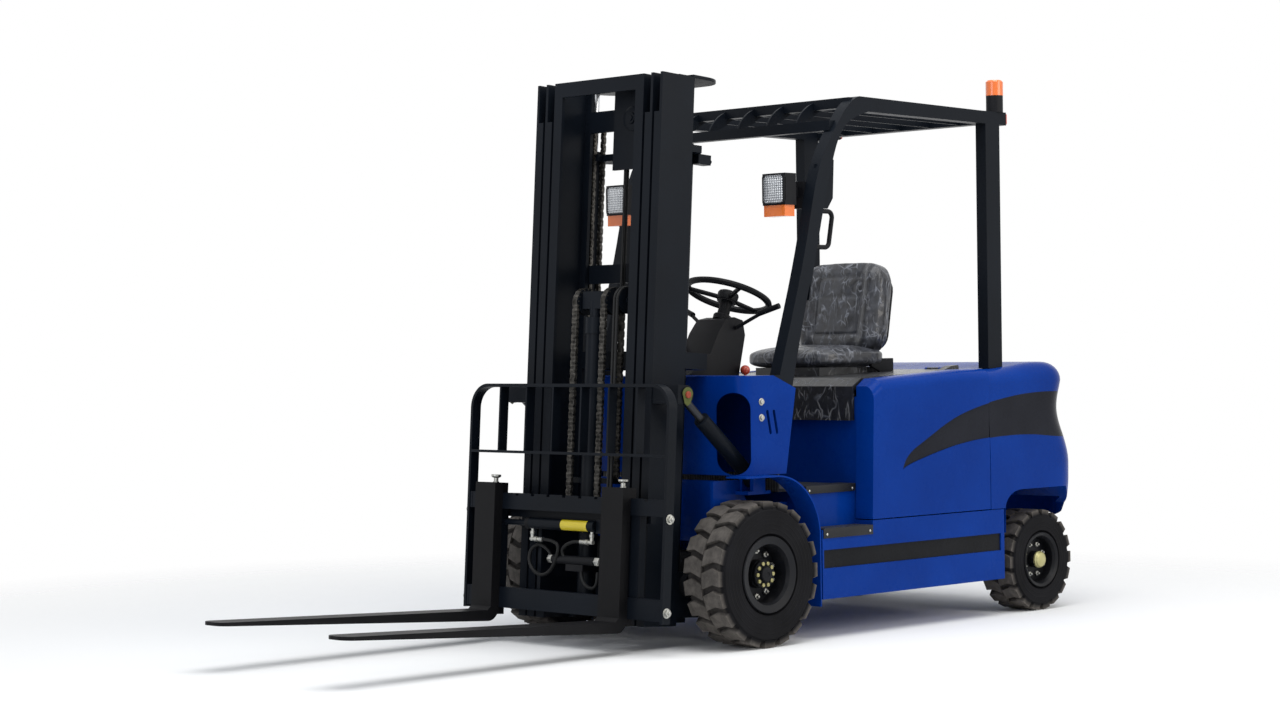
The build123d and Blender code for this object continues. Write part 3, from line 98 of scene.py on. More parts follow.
# Shader building
def linear(code):
    values = [int(code[i:i + 2], 16) / 255 for i in (0, 2, 4)]
    return tuple(v / 12.92 if v <= 0.04045 else ((v + 0.055) / 1.055) ** 2.4 for v in values) + (1.0,)


def addNode(tree, kind, inputs=None, **settings):
    node = tree.nodes.new(kind)
    for key, value in settings.items():
        setattr(node, key, value)
    for key, value in (inputs or {}).items():
        if isinstance(value, bpy.types.NodeSocket):
            tree.links.new(value, node.inputs[key])
        else:
            node.inputs[key].default_value = value
    return node


def maths(tree, operation, first, second=0.0, third=0.5, clamp=False):
    inputs = {0: first, 1: second, 2: third}
    return addNode(tree, "ShaderNodeMath", inputs, operation=operation, use_clamp=clamp).outputs[0]


def vectorMaths(tree, operation, first, second=(0.0, 0.0, 0.0)):
    return addNode(tree, "ShaderNodeVectorMath", {0: first, 1: second}, operation=operation).outputs


def noise(tree, vector, size, detail=3.0, roughness=0.5):
    # size is the width of one blotch in metres
    inputs = {"Vector": vector, "Scale": 1.0 / size, "Detail": detail, "Roughness": roughness}
    return addNode(tree, "ShaderNodeTexNoise", inputs).outputs["Fac"]


def ramp(tree, factor, *stops):
    node = addNode(tree, "ShaderNodeValToRGB", {"Fac": factor})
    while len(node.color_ramp.elements) < len(stops):
        node.color_ramp.elements.new(0.5)
    for element, (place, colour) in zip(node.color_ramp.elements, stops):
        element.position = place
        element.color = linear(colour)
    return node.outputs[0]


def mix(tree, factor, first, second):
    node = addNode(tree, "ShaderNodeMix", {0: factor, 6: first, 7: second}, data_type="RGBA")
    return node.outputs[2]


def newMaterial(name):
    material = bpy.data.materials.new(name)
    material.use_nodes = True
    tree = material.node_tree
    tree.nodes.clear()
    output = addNode(tree, "ShaderNodeOutputMaterial")
    shader = addNode(tree, "ShaderNodeBsdfPrincipled")
    tree.links.new(shader.outputs[0], output.inputs[0])
    coords = addNode(tree, "ShaderNodeTexCoord").outputs["Object"]
    return material, tree, shader, coords


def wire(tree, shader, **values):
    for key, value in values.items():
        socket = shader.inputs[key.replace("_", " ")]
        if isinstance(value, bpy.types.NodeSocket):
            tree.links.new(value, socket)
        else:
            socket.default_value = value


def bump(tree, height, distance, strength=1.0):
    inputs = {"Height": height, "Distance": distance, "Strength": strength}
    return addNode(tree, "ShaderNodeBump", inputs).outputs["Normal"]


def paint(
    name, low, high, roughness, coat=0.0, grain=0.004, depth=0.00008, metallic=0.0, patch=0.35, mirror=0.5
):
    # Sprayed paint: two close shades in broad patches, a fine orange peel, slightly uneven gloss
    material, tree, shader, coords = newMaterial(name)
    shade = ramp(tree, noise(tree, coords, patch, 4.0), (0.3, low), (0.7, high))
    gloss = maths(tree, "MULTIPLY_ADD", noise(tree, coords, 0.06, 5.0, 0.6), 0.16, roughness - 0.08)
    wire(
        tree,
        shader,
        Base_Color=shade,
        Roughness=gloss,
        Metallic=metallic,
        Specular_IOR_Level=mirror,
        Coat_Weight=coat,
        Coat_Roughness=0.08,
        Normal=bump(tree, noise(tree, coords, grain, 2.0), depth),
    )
    return material


def openMaterial(material):
    # The tree of a painted material, its shader and the places it reads
    tree = material.node_tree
    shader = next(n for n in tree.nodes if n.bl_idname == "ShaderNodeBsdfPrincipled")
    coords = next(n for n in tree.nodes if n.bl_idname == "ShaderNodeTexCoord").outputs["Object"]
    return tree, shader, coords


def layFilm(material, there, low, high):
    # Lays dark film over the paint wherever there is 1
    tree, shader, coords = openMaterial(material)
    base = shader.inputs["Base Color"].links[0].from_socket
    film = ramp(tree, noise(tree, coords, 0.3, 3.0), (0.3, low), (0.7, high))
    wire(tree, shader, Base_Color=mix(tree, there, base, film))


# Gloss royal blue enamel of the body, with dark film laid in the shallow recesses of its sides
recess = {"half": 0.575, "slack": 0.0008, "swooshDepth": 0.004, "stripeDepth": 0.006}
swooshFilm = ("1b1c22", "24262d")
stripeFilm = ("17181a", "1f2023")
bodyBlue = paint("bodyBlue", "022d7c", "05368c", 0.28, coat=0.05, grain=0.003, mirror=0.04)
tree, shader, coords = openMaterial(bodyBlue)
split = addNode(tree, "ShaderNodeSeparateXYZ", {0: coords})
facing = addNode(tree, "ShaderNodeSeparateXYZ", {0: addNode(tree, "ShaderNodeNewGeometry").outputs["Normal"]})
flatSide = maths(tree, "GREATER_THAN", maths(tree, "ABSOLUTE", facing.outputs[1]), 0.99)
reach = maths(tree, "ABSOLUTE", split.outputs[1])
for depth, shades in ((recess["swooshDepth"], swooshFilm), (recess["stripeDepth"], stripeFilm)):
    off = maths(tree, "ABSOLUTE", maths(tree, "SUBTRACT", reach, recess["half"] - depth))
    there = maths(tree, "MULTIPLY", maths(tree, "LESS_THAN", off, recess["slack"]), flatSide)
    layFilm(bodyBlue, there, *shades)

# The flash on the counterweight: its top and foot along the truck, and how far out it begins
castFlash = {
    "inside": 0.44,
    "shift": 2.0,
    "top": ((-1.97, 0.872), (-1.80, 0.886), (-1.60, 0.884), (-1.44, 0.868), (-1.30, 0.8455)),
    "foot": ((-1.97, 0.700), (-1.80, 0.702), (-1.60, 0.716), (-1.44, 0.716), (-1.30, 0.7085)),
}


def flashLine(tree, along, heights):
    # Height of the flash's edge at each place along the truck; the curve needs places above zero
    shift = castFlash["shift"]
    curve = addNode(tree, "ShaderNodeFloatCurve", {"Value": maths(tree, "ADD", along, shift)})
    points = curve.mapping.curves[0].points
    for place, height in heights[2:]:
        points.new(place + shift, height)
    for point, (place, height) in zip(points, heights):
        point.location = (place + shift, height)
    curve.mapping.update()
    return curve.outputs[0]


# The same blue on the counterweight, where the flash runs on to the rear corner
castBlue = paint("castBlue", "022d7c", "05368c", 0.28, coat=0.05, grain=0.003, mirror=0.04)
tree, shader, coords = openMaterial(castBlue)
split = addNode(tree, "ShaderNodeSeparateXYZ", {0: coords})
along = maths(tree, "SUBTRACT", split.outputs[0], axleShift)
below = maths(tree, "LESS_THAN", split.outputs[2], flashLine(tree, along, castFlash["top"]))
above = maths(tree, "GREATER_THAN", split.outputs[2], flashLine(tree, along, castFlash["foot"]))
outside = maths(tree, "GREATER_THAN", maths(tree, "ABSOLUTE", split.outputs[1]), castFlash["inside"])
there = maths(tree, "MULTIPLY", maths(tree, "MULTIPLY", below, above), outside)
layFilm(castBlue, there, *swooshFilm)

# Blue-black satin enamel of the mast, carriage and guard
mastBlack = paint("mastBlack", "0c1016", "11161d", 0.4, mirror=0.09)
# Black satin enamel of the forks
forkBlack = paint("forkBlack", "0d0d0f", "141416", 0.48, grain=0.006, depth=0.0002, mirror=0.1)
# Black moulded plastic with a fine grain
hoodBlack = paint("hoodBlack", "0d0e11", "141519", 0.5, grain=0.0012, depth=0.0001, mirror=0.14)
# Grey-black enamel of the wheels
rimGrey = paint("rimGrey", "0e0f12", "16171b", 0.42, mirror=0.16)
# Dark oily steel under the body
darkSteel = paint("darkSteel", "0e0f11", "17181b", 0.55, grain=0.008, depth=0.0003, mirror=0.12)
# Black leaf chain, oiled
chainSteel = paint("chainSteel", "232221", "66635e", 0.36, metallic=0.7, grain=0.002, patch=0.02)
# Dark grey chrome of the tilt rods, dimmer than the other cylinder rods
dimRodSteel = paint("dimRodSteel", "2e3033", "3a3c40", 0.3, metallic=0.8, grain=0.01, depth=0.00001)
# Hard chrome of the cylinder rods
chromeRod = paint("chromeRod", "b9bcc0", "cfd2d6", 0.14, metallic=1.0, grain=0.01, depth=0.00001)
# Orange lamp plastic
lampOrange = paint("lampOrange", "e0651a", "f07a26", 0.25, coat=0.6)
print("plain materials made")


# Depths below a tyre's tread: where wear begins and how it fades, and where the wall's rings begin
tyreWear = {"shoulder": 0.022, "fade": 0.018, "wall": 0.045, "ringPitch": 0.016}


def tyreRubber(name, x, z, radius, bead):
    # Solid rubber: dusty brown-grey on the lugs' faces, black on the sidewalls with moulded rings
    material, tree, shader, coords = newMaterial(name)
    centred = vectorMaths(tree, "SUBTRACT", coords, (x, 0.0, z))[0]
    flat = vectorMaths(tree, "MULTIPLY", centred, (1.0, 0.0, 1.0))[0]
    reach = vectorMaths(tree, "LENGTH", flat)["Value"]
    shoulder = maths(tree, "SUBTRACT", reach, radius - tyreWear["shoulder"])
    worn = maths(tree, "MULTIPLY", shoulder, 1 / tyreWear["fade"], clamp=True)
    dust = ramp(tree, noise(tree, coords, 0.03, 6.0, 0.65), (0.3, "45423f"), (0.75, "69645f"))
    black = ramp(tree, noise(tree, coords, 0.15, 4.0), (0.3, "0e0e10"), (0.7, "17171a"))
    wave = maths(tree, "MULTIPLY", maths(tree, "SUBTRACT", reach, bead), 2 * math.pi / tyreWear["ringPitch"])
    ring = maths(tree, "POWER", maths(tree, "MAXIMUM", maths(tree, "SINE", wave), 0.0), 6.0)
    near = maths(tree, "LESS_THAN", reach, radius - tyreWear["wall"])
    grain = maths(tree, "MULTIPLY", noise(tree, coords, 0.002), 0.15)
    height = maths(tree, "ADD", maths(tree, "MULTIPLY", ring, near), grain)
    wire(
        tree,
        shader,
        Base_Color=mix(tree, worn, black, dust),
        Roughness=0.75,
        Specular_IOR_Level=0.1,
        Normal=bump(tree, height, 0.0009),
    )
    return material


def treadPlate(name):
    # Dark enamel over steel checker plate: short raised bars, turned by a right angle on each second square
    material, tree, shader, coords = newMaterial(name)
    pitch = 0.026
    split = addNode(tree, "ShaderNodeSeparateXYZ", {0: coords})
    across = maths(tree, "MULTIPLY", maths(tree, "ADD", split.outputs[0], split.outputs[1]), 1 / pitch)
    along = maths(tree, "MULTIPLY", maths(tree, "SUBTRACT", split.outputs[0], split.outputs[1]), 1 / pitch)
    heights = []
    for lengthways, sideways, offset in ((across, along, 0.0), (along, across, 0.5)):
        bar = 0.0
        for place, taper in ((lengthways, 2.4), (sideways, 9.0)):
            share = maths(tree, "FRACT", maths(tree, "ADD", place, offset))
            away = maths(tree, "ABSOLUTE", maths(tree, "SUBTRACT", share, 0.5))
            bar = maths(tree, "MULTIPLY_ADD", away, taper, bar)
        heights.append(maths(tree, "SUBTRACT", 1.0, bar, clamp=True))
    height = maths(tree, "MAXIMUM", heights[0], heights[1])
    shade = ramp(tree, height, (0.0, "1b1c1f"), (1.0, "3a3b3e"))
    wire(tree, shader, Base_Color=shade, Roughness=0.5, Normal=bump(tree, height, 0.002))
    return material


def seatVinyl(name):
    # Plain charcoal vinyl, for the seat where no film lies over it
    material, tree, shader, coords = newMaterial(name)
    shade = ramp(tree, noise(tree, coords, 0.05, 5.0), (0.3, "202126"), (0.7, "34363c"))
    grain = bump(tree, noise(tree, coords, 0.0015), 0.0002)
    wire(tree, shader, Base_Color=shade, Roughness=0.5, Normal=grain)
    return material


frontTyre = tyreRubber("frontTyreRubber", axleShift, 0.265, 0.265, 0.145)
rearTyre = tyreRubber("rearTyreRubber", axleShift - 1.676, 0.205, 0.205, 0.116)
checkerPlate = treadPlate("checkerPlate")
seatCover = seatVinyl("seatCover")

finishes = {
    "tread_rubber": frontTyre,
    "rim_grey": rimGrey,
    "dark_steel": darkSteel,
    "body_blue": bodyBlue,
    "tread_plate": checkerPlate,
    "hood_black": hoodBlack,
    "seat_vinyl": seatCover,
    "mast_black": mastBlack,
    "beacon_orange": lampOrange,
    "chrome_rod": chromeRod,
    "chain_steel": chainSteel,
    "fork_black": forkBlack,
}
slotOf = {part["node"]: part["material_slot"] for part in frame["record"]["subparts"]}
for nodeName, node in frame["nodes"].items():
    finish = finishes[slotOf[nodeName]]
    if nodeName.startswith("rear_tyre"):
        finish = rearTyre
    node.data.materials.clear()
    node.data.materials.append(finish)
# The tilt rods take the dark grey rod steel instead of the bright chrome
frame["nodes"]["tilt_rods"].data.materials[0] = dimRodSteel
print("frame painted")


# Building pieces from mesh
def aim(origin, direction, side=(1, 0, 0)):
    # A frame whose Z runs along direction and whose X leans towards side
    z = Vector(direction).normalized()
    x = Vector(side) - z * z.dot(Vector(side))
    x = x.normalized() if x.length > 0.001 else z.orthogonal().normalized()
    y = z.cross(x)
    turned = Matrix((x, y, z)).transposed().to_4x4()
    return Matrix.Translation(origin) @ turned


def arc(radius, first, last, steps, centre=(0.0, 0.0)):
    # Points from one angle in degrees to another, both ends included
    angles = [math.radians(first + (last - first) * i / steps) for i in range(steps + 1)]
    return [(centre[0] + radius * math.cos(a), centre[1] + radius * math.sin(a)) for a in angles]


def circle(radius, count, start=0.0):
    return arc(radius, start, start + 360, count)[:-1]


def disc(radius, low, high):
    # Profile of a plain round plate or pin
    return (0.0, low), (radius, low), (radius, high), (0.0, high)


def bridge(sheet, loops, closed=True):
    # Faces between one line of points and the next
    for low, high in zip(loops, loops[1:]):
        for i in range(len(low) - (0 if closed else 1)):
            j = (i + 1) % len(low)
            sheet.faces.new((low[i], low[j], high[j], high[i]))


def turn(sheet, profile, place, steps=24):
    # Turns a profile of (radius, height) pairs about the frame's Z
    rings = []
    for radius, height in profile:
        spots = circle(radius, steps) if radius > 0.00001 else [(0, 0)]
        rings.append([sheet.verts.new(place @ Vector((x, y, height))) for x, y in spots])
    for low, high in zip(rings, rings[1:]):
        for i in range(steps):
            j = i + 1
            corners = [low[i % len(low)], low[j % len(low)], high[j % len(high)], high[i % len(high)]]
            corners = list(dict.fromkeys(corners))
            if len(corners) > 2:
                sheet.faces.new(corners)


def prism(sheet, outline, low, high, place):
    # A closed outline in the frame's XY, standing from low to high
    under = [sheet.verts.new(place @ Vector((x, y, low))) for x, y in outline]
    over = [sheet.verts.new(place @ Vector((x, y, high))) for x, y in outline]
    sheet.faces.new(list(reversed(under)))
    sheet.faces.new(over)
    bridge(sheet, (under, over))


def roundedOutline(width, height, corner, steps=5):
    points = []
    for cx, cy, start in ((1, 1, 0), (-1, 1, 90), (-1, -1, 180), (1, -1, 270)):
        centre = (cx * (width / 2 - corner), cy * (height / 2 - corner))
        points += arc(corner, start, start + 90, steps, centre)
    return points


def hexNut(sheet, place, size, height, stud=0.0):
    # Six-sided nut with a chamfered top and, where it has one, the stud's end
    chamfer = height * 0.88
    prism(sheet, circle(size, 6), 0.0, chamfer, place)
    turn(sheet, ((size * 0.92, chamfer), (size * 0.8, height), (0.0, height)), place, 12)
    if stud:
        wide, narrow, top = size * 0.45, size * 0.36, height + stud
        turn(sheet, ((wide, height * 0.9), (wide, top - 0.0015), (narrow, top), (0.0, top)), place, 12)


def tube(sheet, points, radius, steps=10):
    # A round bar or hose along a line of points
    rings = []
    side = None
    for i, point in enumerate(points):
        ahead, behind = points[min(i + 1, len(points) - 1)], points[max(i - 1, 0)]
        along = (Vector(ahead) - Vector(behind)).normalized()
        side = along.orthogonal() if side is None else side - along * side.dot(along)
        side.normalize()
        other = along.cross(side)
        spots = [Vector(point) + side * c + other * s for c, s in circle(radius, steps)]
        rings.append([sheet.verts.new(spot) for spot in spots])
    bridge(sheet, rings)
    sheet.faces.new(list(reversed(rings[0])))
    sheet.faces.new(rings[-1])


def smoothLine(points, rounds=3):
    # Rounds a hose's line by cutting its corners again and again
    line = [Vector(p) for p in points]
    for _ in range(rounds):
        cut = [line[0]]
        for a, b in zip(line, line[1:]):
            cut += [a.lerp(b, 0.25), a.lerp(b, 0.75)]
        line = cut + [line[-1]]
    return line


def meshPiece(name, sheet):
    mesh = bpy.data.meshes.new(name)
    sheet.to_mesh(mesh)
    sheet.free()
    piece = bpy.data.objects.new(name, mesh)
    scene.collection.objects.link(piece)
    return piece


def newPiece(name, sheet, finish, body=None, slotName=None, bevel=0.0, angle=35):
    bmesh.ops.recalc_face_normals(sheet, faces=sheet.faces)
    limit = math.radians(angle)
    if bevel:
        sharp = [e for e in sheet.edges if len(e.link_faces) == 2 and e.calc_face_angle(0) > limit]
        bmesh.ops.bevel(
            sheet, geom=sharp, offset=bevel, segments=2, profile=0.6, affect="EDGES", clamp_overlap=True
        )
    for face in sheet.faces:
        face.smooth = True
    for edge in sheet.edges:
        if len(edge.link_faces) == 2 and edge.calc_face_angle(0) > limit:
            edge.smooth = False
    piece = meshPiece(name, sheet)
    piece.data.materials.append(finish)
    if body:
        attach(piece, body)
    return piece


def turnedPiece(name, profile, place, steps, *settings):
    sheet = bmesh.new()
    turn(sheet, profile, place, steps)
    return newPiece(name, sheet, *settings)


def prismPiece(name, outline, low, high, place, *settings):
    sheet = bmesh.new()
    prism(sheet, outline, low, high, place)
    return newPiece(name, sheet, *settings)


def hosePiece(name, line, radius, body=None):
    sheet = bmesh.new()
    tube(sheet, line, radius)
    return newPiece(name, sheet, hoseRubber, body, "hood_black")


def nutRing(name, spots, place, nut, finish, body, bevel):
    # Nuts standing on a plate; nut gives the size, height and stud of each
    sheet = bmesh.new()
    for x, y in spots:
        hexNut(sheet, place @ Matrix.Translation((x, y, 0)), *nut)
    newPiece(name, sheet, finish, body, "chrome_rod", bevel)


def sideBolts(name, place, bolts, body):
    # Bolts on washers at both sides
    sheet = bmesh.new()
    radius, thickness = bolts["washer"]
    for side in (1, -1):
        for z in bolts["z"]:
            spot = place @ aim((bolts["x"], side * bolts["y"], z), (0, side, 0))
            turn(sheet, disc(radius, 0.0, thickness), spot, 24)
            hexNut(sheet, spot @ Matrix.Translation((0, 0, thickness - 0.0001)), *bolts["nut"])
    newPiece(name, sheet, zincPlate, body, "chrome_rod", 0.0005)


# More finishes, for the small pieces
# Zinc-plated steel of nuts, elbows and pins: pale grey with a faint yellow in patches
zincPlate = paint("zincPlate", "9c9d9b", "b9b8b0", 0.32, metallic=0.85, grain=0.002, patch=0.02)
# Yellow-passivated steel of the hub bolts
yellowZinc = paint("yellowZinc", "8f8a5c", "a69f72", 0.38, metallic=0.75, grain=0.002, patch=0.02)
# Black rubber hose, slightly dusty
hoseRubber = paint("hoseRubber", "0d0e0f", "161718", 0.5, grain=0.0015, depth=0.0001, mirror=0.2)
# Yellow vinyl label left blank
labelYellow = paint("labelYellow", "c9b41c", "d6c22a", 0.4, coat=0.3)
# Cast aluminium cap of the rear hubs with a thin yellow lacquer
hubCap = paint("hubCap", "a9a36e", "bcb684", 0.42, metallic=0.5, patch=0.03)
# Olive enamel of the tilt pin keepers
oliveEnamel = paint("oliveEnamel", "4c5226", "5f6434", 0.55, mirror=0.2)
# Red lead on the ends of the tilt pins
pinPrimer = paint("pinPrimer", "8a3d2c", "a04a36", 0.5, mirror=0.2)
# Red-orange moulded knob
knobRed = paint("knobRed", "b03a22", "c4452a", 0.35, coat=0.4)
# Moulded acrylic of the head lamps over a bright reflector: prisms in a 9 mm grid
lampGlass, tree, shader, coords = newMaterial("lampAcrylic")
split = addNode(tree, "ShaderNodeSeparateXYZ", {0: coords})
turns = 2 * math.pi / 0.009
waves = [maths(tree, "SINE", maths(tree, "MULTIPLY", split.outputs[i], turns)) for i in (1, 2)]
grid = maths(tree, "ADD", *waves)
wire(
    tree,
    shader,
    Base_Color=ramp(tree, maths(tree, "MULTIPLY_ADD", grid, 0.25), (0.2, "8d9196"), (0.8, "e6e8ea")),
    Roughness=0.18,
    Metallic=0.35,
    Coat_Weight=1.0,
    Coat_Roughness=0.05,
    Normal=bump(tree, grid, 0.0008),
)
print("small finishes made")

# Wheels: nuts on the discs, flanges and caps on the hubs, measured outwards from each disc's middle
frontHub = {
    "y": 0.5145,
    "z": 0.265,
    "disc": 0.0175,
    "nuts": circle(0.083, 10, 18),
    "nut": (0.0118, 0.012, 0.009),
    "bolts": circle(0.040, 10),
    "bolt": (0.0078, 0.0075),
    "boltFoot": 0.0078,
    "flange": (
        (0.030, -0.002), (0.0505, -0.002), (0.0515, 0.0), (0.0515, 0.006), (0.050, 0.008), (0.028, 0.008),
        (0.0272, 0.020), (0.025, 0.0225), (0.010, 0.024), (0.009, 0.022), (0.0, 0.022),
    ),
}
rearHub = {
    "x": -1.676,
    "y": 0.483,
    "z": 0.205,
    "disc": 0.030,
    "face": 0.066,
    "nuts": circle(0.064, 8, 22.5),
    "nut": (0.0105, 0.011, 0.008),
    "cap": (
        (0.024, -0.004), (0.0335, -0.004), (0.0335, 0.003), (0.031, 0.005), (0.0285, 0.012), (0.023, 0.015),
        (0.0, 0.016),
    ),
}
hubGap = 0.0006
frontFace = max(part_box("drive_axle")[1].y - frontHub["y"], frontHub["disc"] + 0.030) + hubGap
for side, sideName in ((1, "left"), (-1, "right")):
    wheel = f"front_wheel_{sideName}"
    outward = Matrix.Rotation(math.radians(-90 * side), 4, "X")
    middle = truckFrame @ Matrix.Translation((0, side * frontHub["y"], frontHub["z"])) @ outward
    place = middle @ Matrix.Translation((0, 0, frontHub["disc"]))
    nutRing(f"frontWheelNuts_{sideName}", frontHub["nuts"], place, frontHub["nut"], zincPlate, wheel, 0.0006)
    place = middle @ Matrix.Translation((0, 0, frontFace))
    turnedPiece(f"frontHubFlange_{sideName}", frontHub["flange"], place, 48, darkSteel, wheel, "dark_steel")
    place = place @ Matrix.Translation((0, 0, frontHub["boltFoot"]))
    bolt = frontHub["bolt"]
    nutRing(f"frontHubBolts_{sideName}", frontHub["bolts"], place, bolt, yellowZinc, wheel, 0.0004)

    wheel = f"rear_wheel_{sideName}"
    middle = truckFrame @ Matrix.Translation((rearHub["x"], side * rearHub["y"], rearHub["z"])) @ outward
    place = middle @ Matrix.Translation((0, 0, rearHub["disc"]))
    nutRing(f"rearWheelNuts_{sideName}", rearHub["nuts"], place, rearHub["nut"], zincPlate, wheel, 0.0005)
    place = middle @ Matrix.Translation((0, 0, rearHub["face"] + hubGap))
    turnedPiece(f"rearHubCap_{sideName}", rearHub["cap"], place, 40, hubCap, wheel, "chrome_rod")
print("wheel fittings made")

# Leaf chains: plates in staggered pairs with a pin at each joint
leafChain = {"pitch": 0.0159, "half": 0.0066, "plate": 0.0026, "pin": 0.0036, "pinEnd": 0.0018, "gap": 0.0006}


def upMast(x, y, low, high, steps):
    return [onMast(x, y, low + (high - low) * i / steps) for i in range(steps + 1)]


def pitches(x, y, low, high):
    # Points a pitch apart up the mast, the pitch stretched a little to fit
    return upMast(x, y, low, high, round((high - low) / leafChain["pitch"]))


def chainPiece(name, line, width, body=None):
    # line is the chain's middle, one point at each pin
    sheet = bmesh.new()
    step = leafChain["plate"] + leafChain["gap"]
    rows = int(width / step)
    reach = width / 2 + leafChain["pinEnd"]
    for index, (a, b) in enumerate(zip(line, line[1:])):
        place = aim(a, acrossMast, b - a)
        outline = arc(leafChain["half"], -90, 90, 4, ((b - a).length, 0.0))
        outline += arc(leafChain["half"], 90, 270, 4)
        for row in range(index % 2, rows, 2):
            low = (row - rows / 2) * step
            prism(sheet, outline, low, low + leafChain["plate"], place)
        turn(sheet, disc(leafChain["pin"], -reach, reach), place, 6)
    return newPiece(name, sheet, chainSteel, body, "chain_steel")


# Where the front and rear runs of chains and hoses begin and end their stretch
frontStretch = (0.270, 2.230)
rearStretch = (0.600, 1.900)
sheave = {"x": 0.322, "z": 1.250}
liftChain = {"y": 0.075, "radius": 0.046, "front": 0.4715, "rear": 0.6015, "width": 0.0256}
front, rear = sheave["x"] + liftChain["radius"], sheave["x"] - liftChain["radius"]
for side, sideName in ((1, "left"), (-1, "right")):
    y = side * liftChain["y"]
    line = pitches(front, y, liftChain["front"], sheave["z"])
    piece = chainPiece(f"liftChainFront_{sideName}", line, liftChain["width"])
    low, high = [onMast(front, y, z) for z in frontStretch]
    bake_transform(piece)
    if side > 0:
        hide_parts("lift_chains")
    line = pitches(rear, y, liftChain["rear"], sheave["z"])
    piece = chainPiece(f"liftChainRear_{sideName}", line, liftChain["width"])
    low, high = [onMast(rear, y, z) for z in rearStretch]
    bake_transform(piece)
    line = [onMast(x, y, z) for x, z in arc(liftChain["radius"], 0, 180, 8, (sheave["x"], sheave["z"]))]
    chainPiece(f"liftChainOver_{sideName}", line, liftChain["width"], "crosshead")

# Second pair of chains, behind the rails: over sheaves on the middle mast, down to the inner mast's foot
mastChain = {
    "x": 0.150, "y": 0.214, "z": 1.955, "radius": 0.024, "rear": 1.070, "front": 0.215, "width": 0.0192,
}
mastSheave = (
    (0.0, -0.012), (0.034, -0.012), (0.034, -0.009), (0.017, -0.008),
    (0.017, 0.008), (0.034, 0.009), (0.034, 0.012), (0.0, 0.012),
)
sheavePin = disc(0.011, -0.0115, 0.0345)
front, rear, top = mastChain["x"] + mastChain["radius"], mastChain["x"] - mastChain["radius"], mastChain["z"]
for side, sideName in ((1, "left"), (-1, "right")):
    y = side * mastChain["y"]
    low = mastChain["rear"]
    piece = chainPiece(f"mastChainRear_{sideName}", pitches(rear, y, low, top), mastChain["width"])
    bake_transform(piece)
    low = mastChain["front"]
    piece = chainPiece(f"mastChainFront_{sideName}", pitches(front, y, low, top), mastChain["width"])
    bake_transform(piece)
    place = mastFrame @ aim((mastChain["x"], y, top), (0, 1, 0))
    turnedPiece(f"mastSheave_{sideName}", mastSheave, place, 32, darkSteel, "middle_mast", "mast_black")
    place = mastFrame @ aim((mastChain["x"], y, top), (0, side, 0))
    turnedPiece(f"mastSheavePin_{sideName}", sheavePin, place, 16, darkSteel, "middle_mast", "mast_black")
print("chains made")

# Hoses: two over the crosshead's sheave, two over the pulley at the top of the inner mast
liftHose = {
    "radius": 0.0062, "y": (0.1325, 0.1475), "bend": 0.0485, "front": 0.500, "rear": 0.640, "endDrop": 0.030,
}
hoseEnd = (
    (0.0, 0.0), (0.0075, 0.0), (0.0075, 0.012), (0.0085, 0.013),
    (0.0085, 0.030), (0.0068, 0.034), (0.0, 0.034),
)
front, rear = sheave["x"] + liftHose["bend"], sheave["x"] - liftHose["bend"]
for index, y in enumerate(liftHose["y"]):
    line = upMast(front, y, liftHose["front"], sheave["z"], 24)
    piece = hosePiece(f"liftHoseFront_{index}", line, liftHose["radius"])
    low, high = [onMast(front, y, z) for z in frontStretch]
    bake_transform(piece)
    line = upMast(rear, y, liftHose["rear"], sheave["z"], 24)
    piece = hosePiece(f"liftHoseRear_{index}", line, liftHose["radius"])
    low, high = [onMast(rear, y, z) for z in rearStretch]
    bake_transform(piece)
    line = [onMast(x, y, z) for x, z in arc(liftHose["bend"], 0, 180, 16, (sheave["x"], sheave["z"]))]
    hosePiece(f"liftHoseOver_{index}", line, liftHose["radius"], "crosshead")
    place = mastFrame @ aim((front, y, liftHose["front"] - liftHose["endDrop"]), (0, 0, 1))
    turnedPiece(f"liftHoseEnd_{index}", hoseEnd, place, 16, zincPlate, "carriage", "chrome_rod")

topHose = {
    "radius": 0.0058, "x": (0.2165, 0.2295), "y": 0.070, "z": 1.934, "bend": 0.0515,
    "inner": 1.075, "middle": 1.405,
}
left, right, top = topHose["y"] - topHose["bend"], topHose["y"] + topHose["bend"], topHose["z"]
for index, x in enumerate(topHose["x"]):
    line = upMast(x, left, topHose["inner"], top, 20)[:-1]
    line += [onMast(x, y, z) for y, z in arc(topHose["bend"], 180, 0, 16, (topHose["y"], top))]
    hosePiece(f"topHoseInner_{index}", line, topHose["radius"], "inner_mast")
    low = topHose["middle"]
    piece = hosePiece(f"topHoseMiddle_{index}", upMast(x, right, low, top, 20), topHose["radius"])
    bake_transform(piece)

# Side-shift cylinder: blank label, gland, elbows, valve block and its three short hoses
shiftRam = {"x": 0.438, "z": 0.425, "label": 0.0215, "low": -0.022, "high": 0.116, "gland": -0.219}
label = bmesh.new()
bow = arc(shiftRam["label"], -62, 62, 31, (shiftRam["x"], shiftRam["z"]))
ends = (shiftRam["low"], shiftRam["high"])
bridge(label, [[label.verts.new(onMast(x, y, z)) for x, z in bow] for y in ends], closed=False)
newPiece("shiftRamLabel", label, labelYellow, "carriage", "beacon_orange")
gland = ((0.0125, 0.0), (0.0205, 0.0), (0.0225, 0.002), (0.0225, 0.020), (0.0213, 0.022), (0.0205, 0.022))
place = mastFrame @ aim((shiftRam["x"], shiftRam["gland"], shiftRam["z"]), (0, 1, 0))
turnedPiece("shiftRamGland", gland, place, 32, darkSteel, "carriage", "mast_black")
elbowStub = (
    (0.0, 0.0), (0.0075, 0.0), (0.0075, 0.024), (0.0095, 0.025),
    (0.0095, 0.034), (0.0065, 0.035), (0.0065, 0.046), (0.0, 0.046),
)
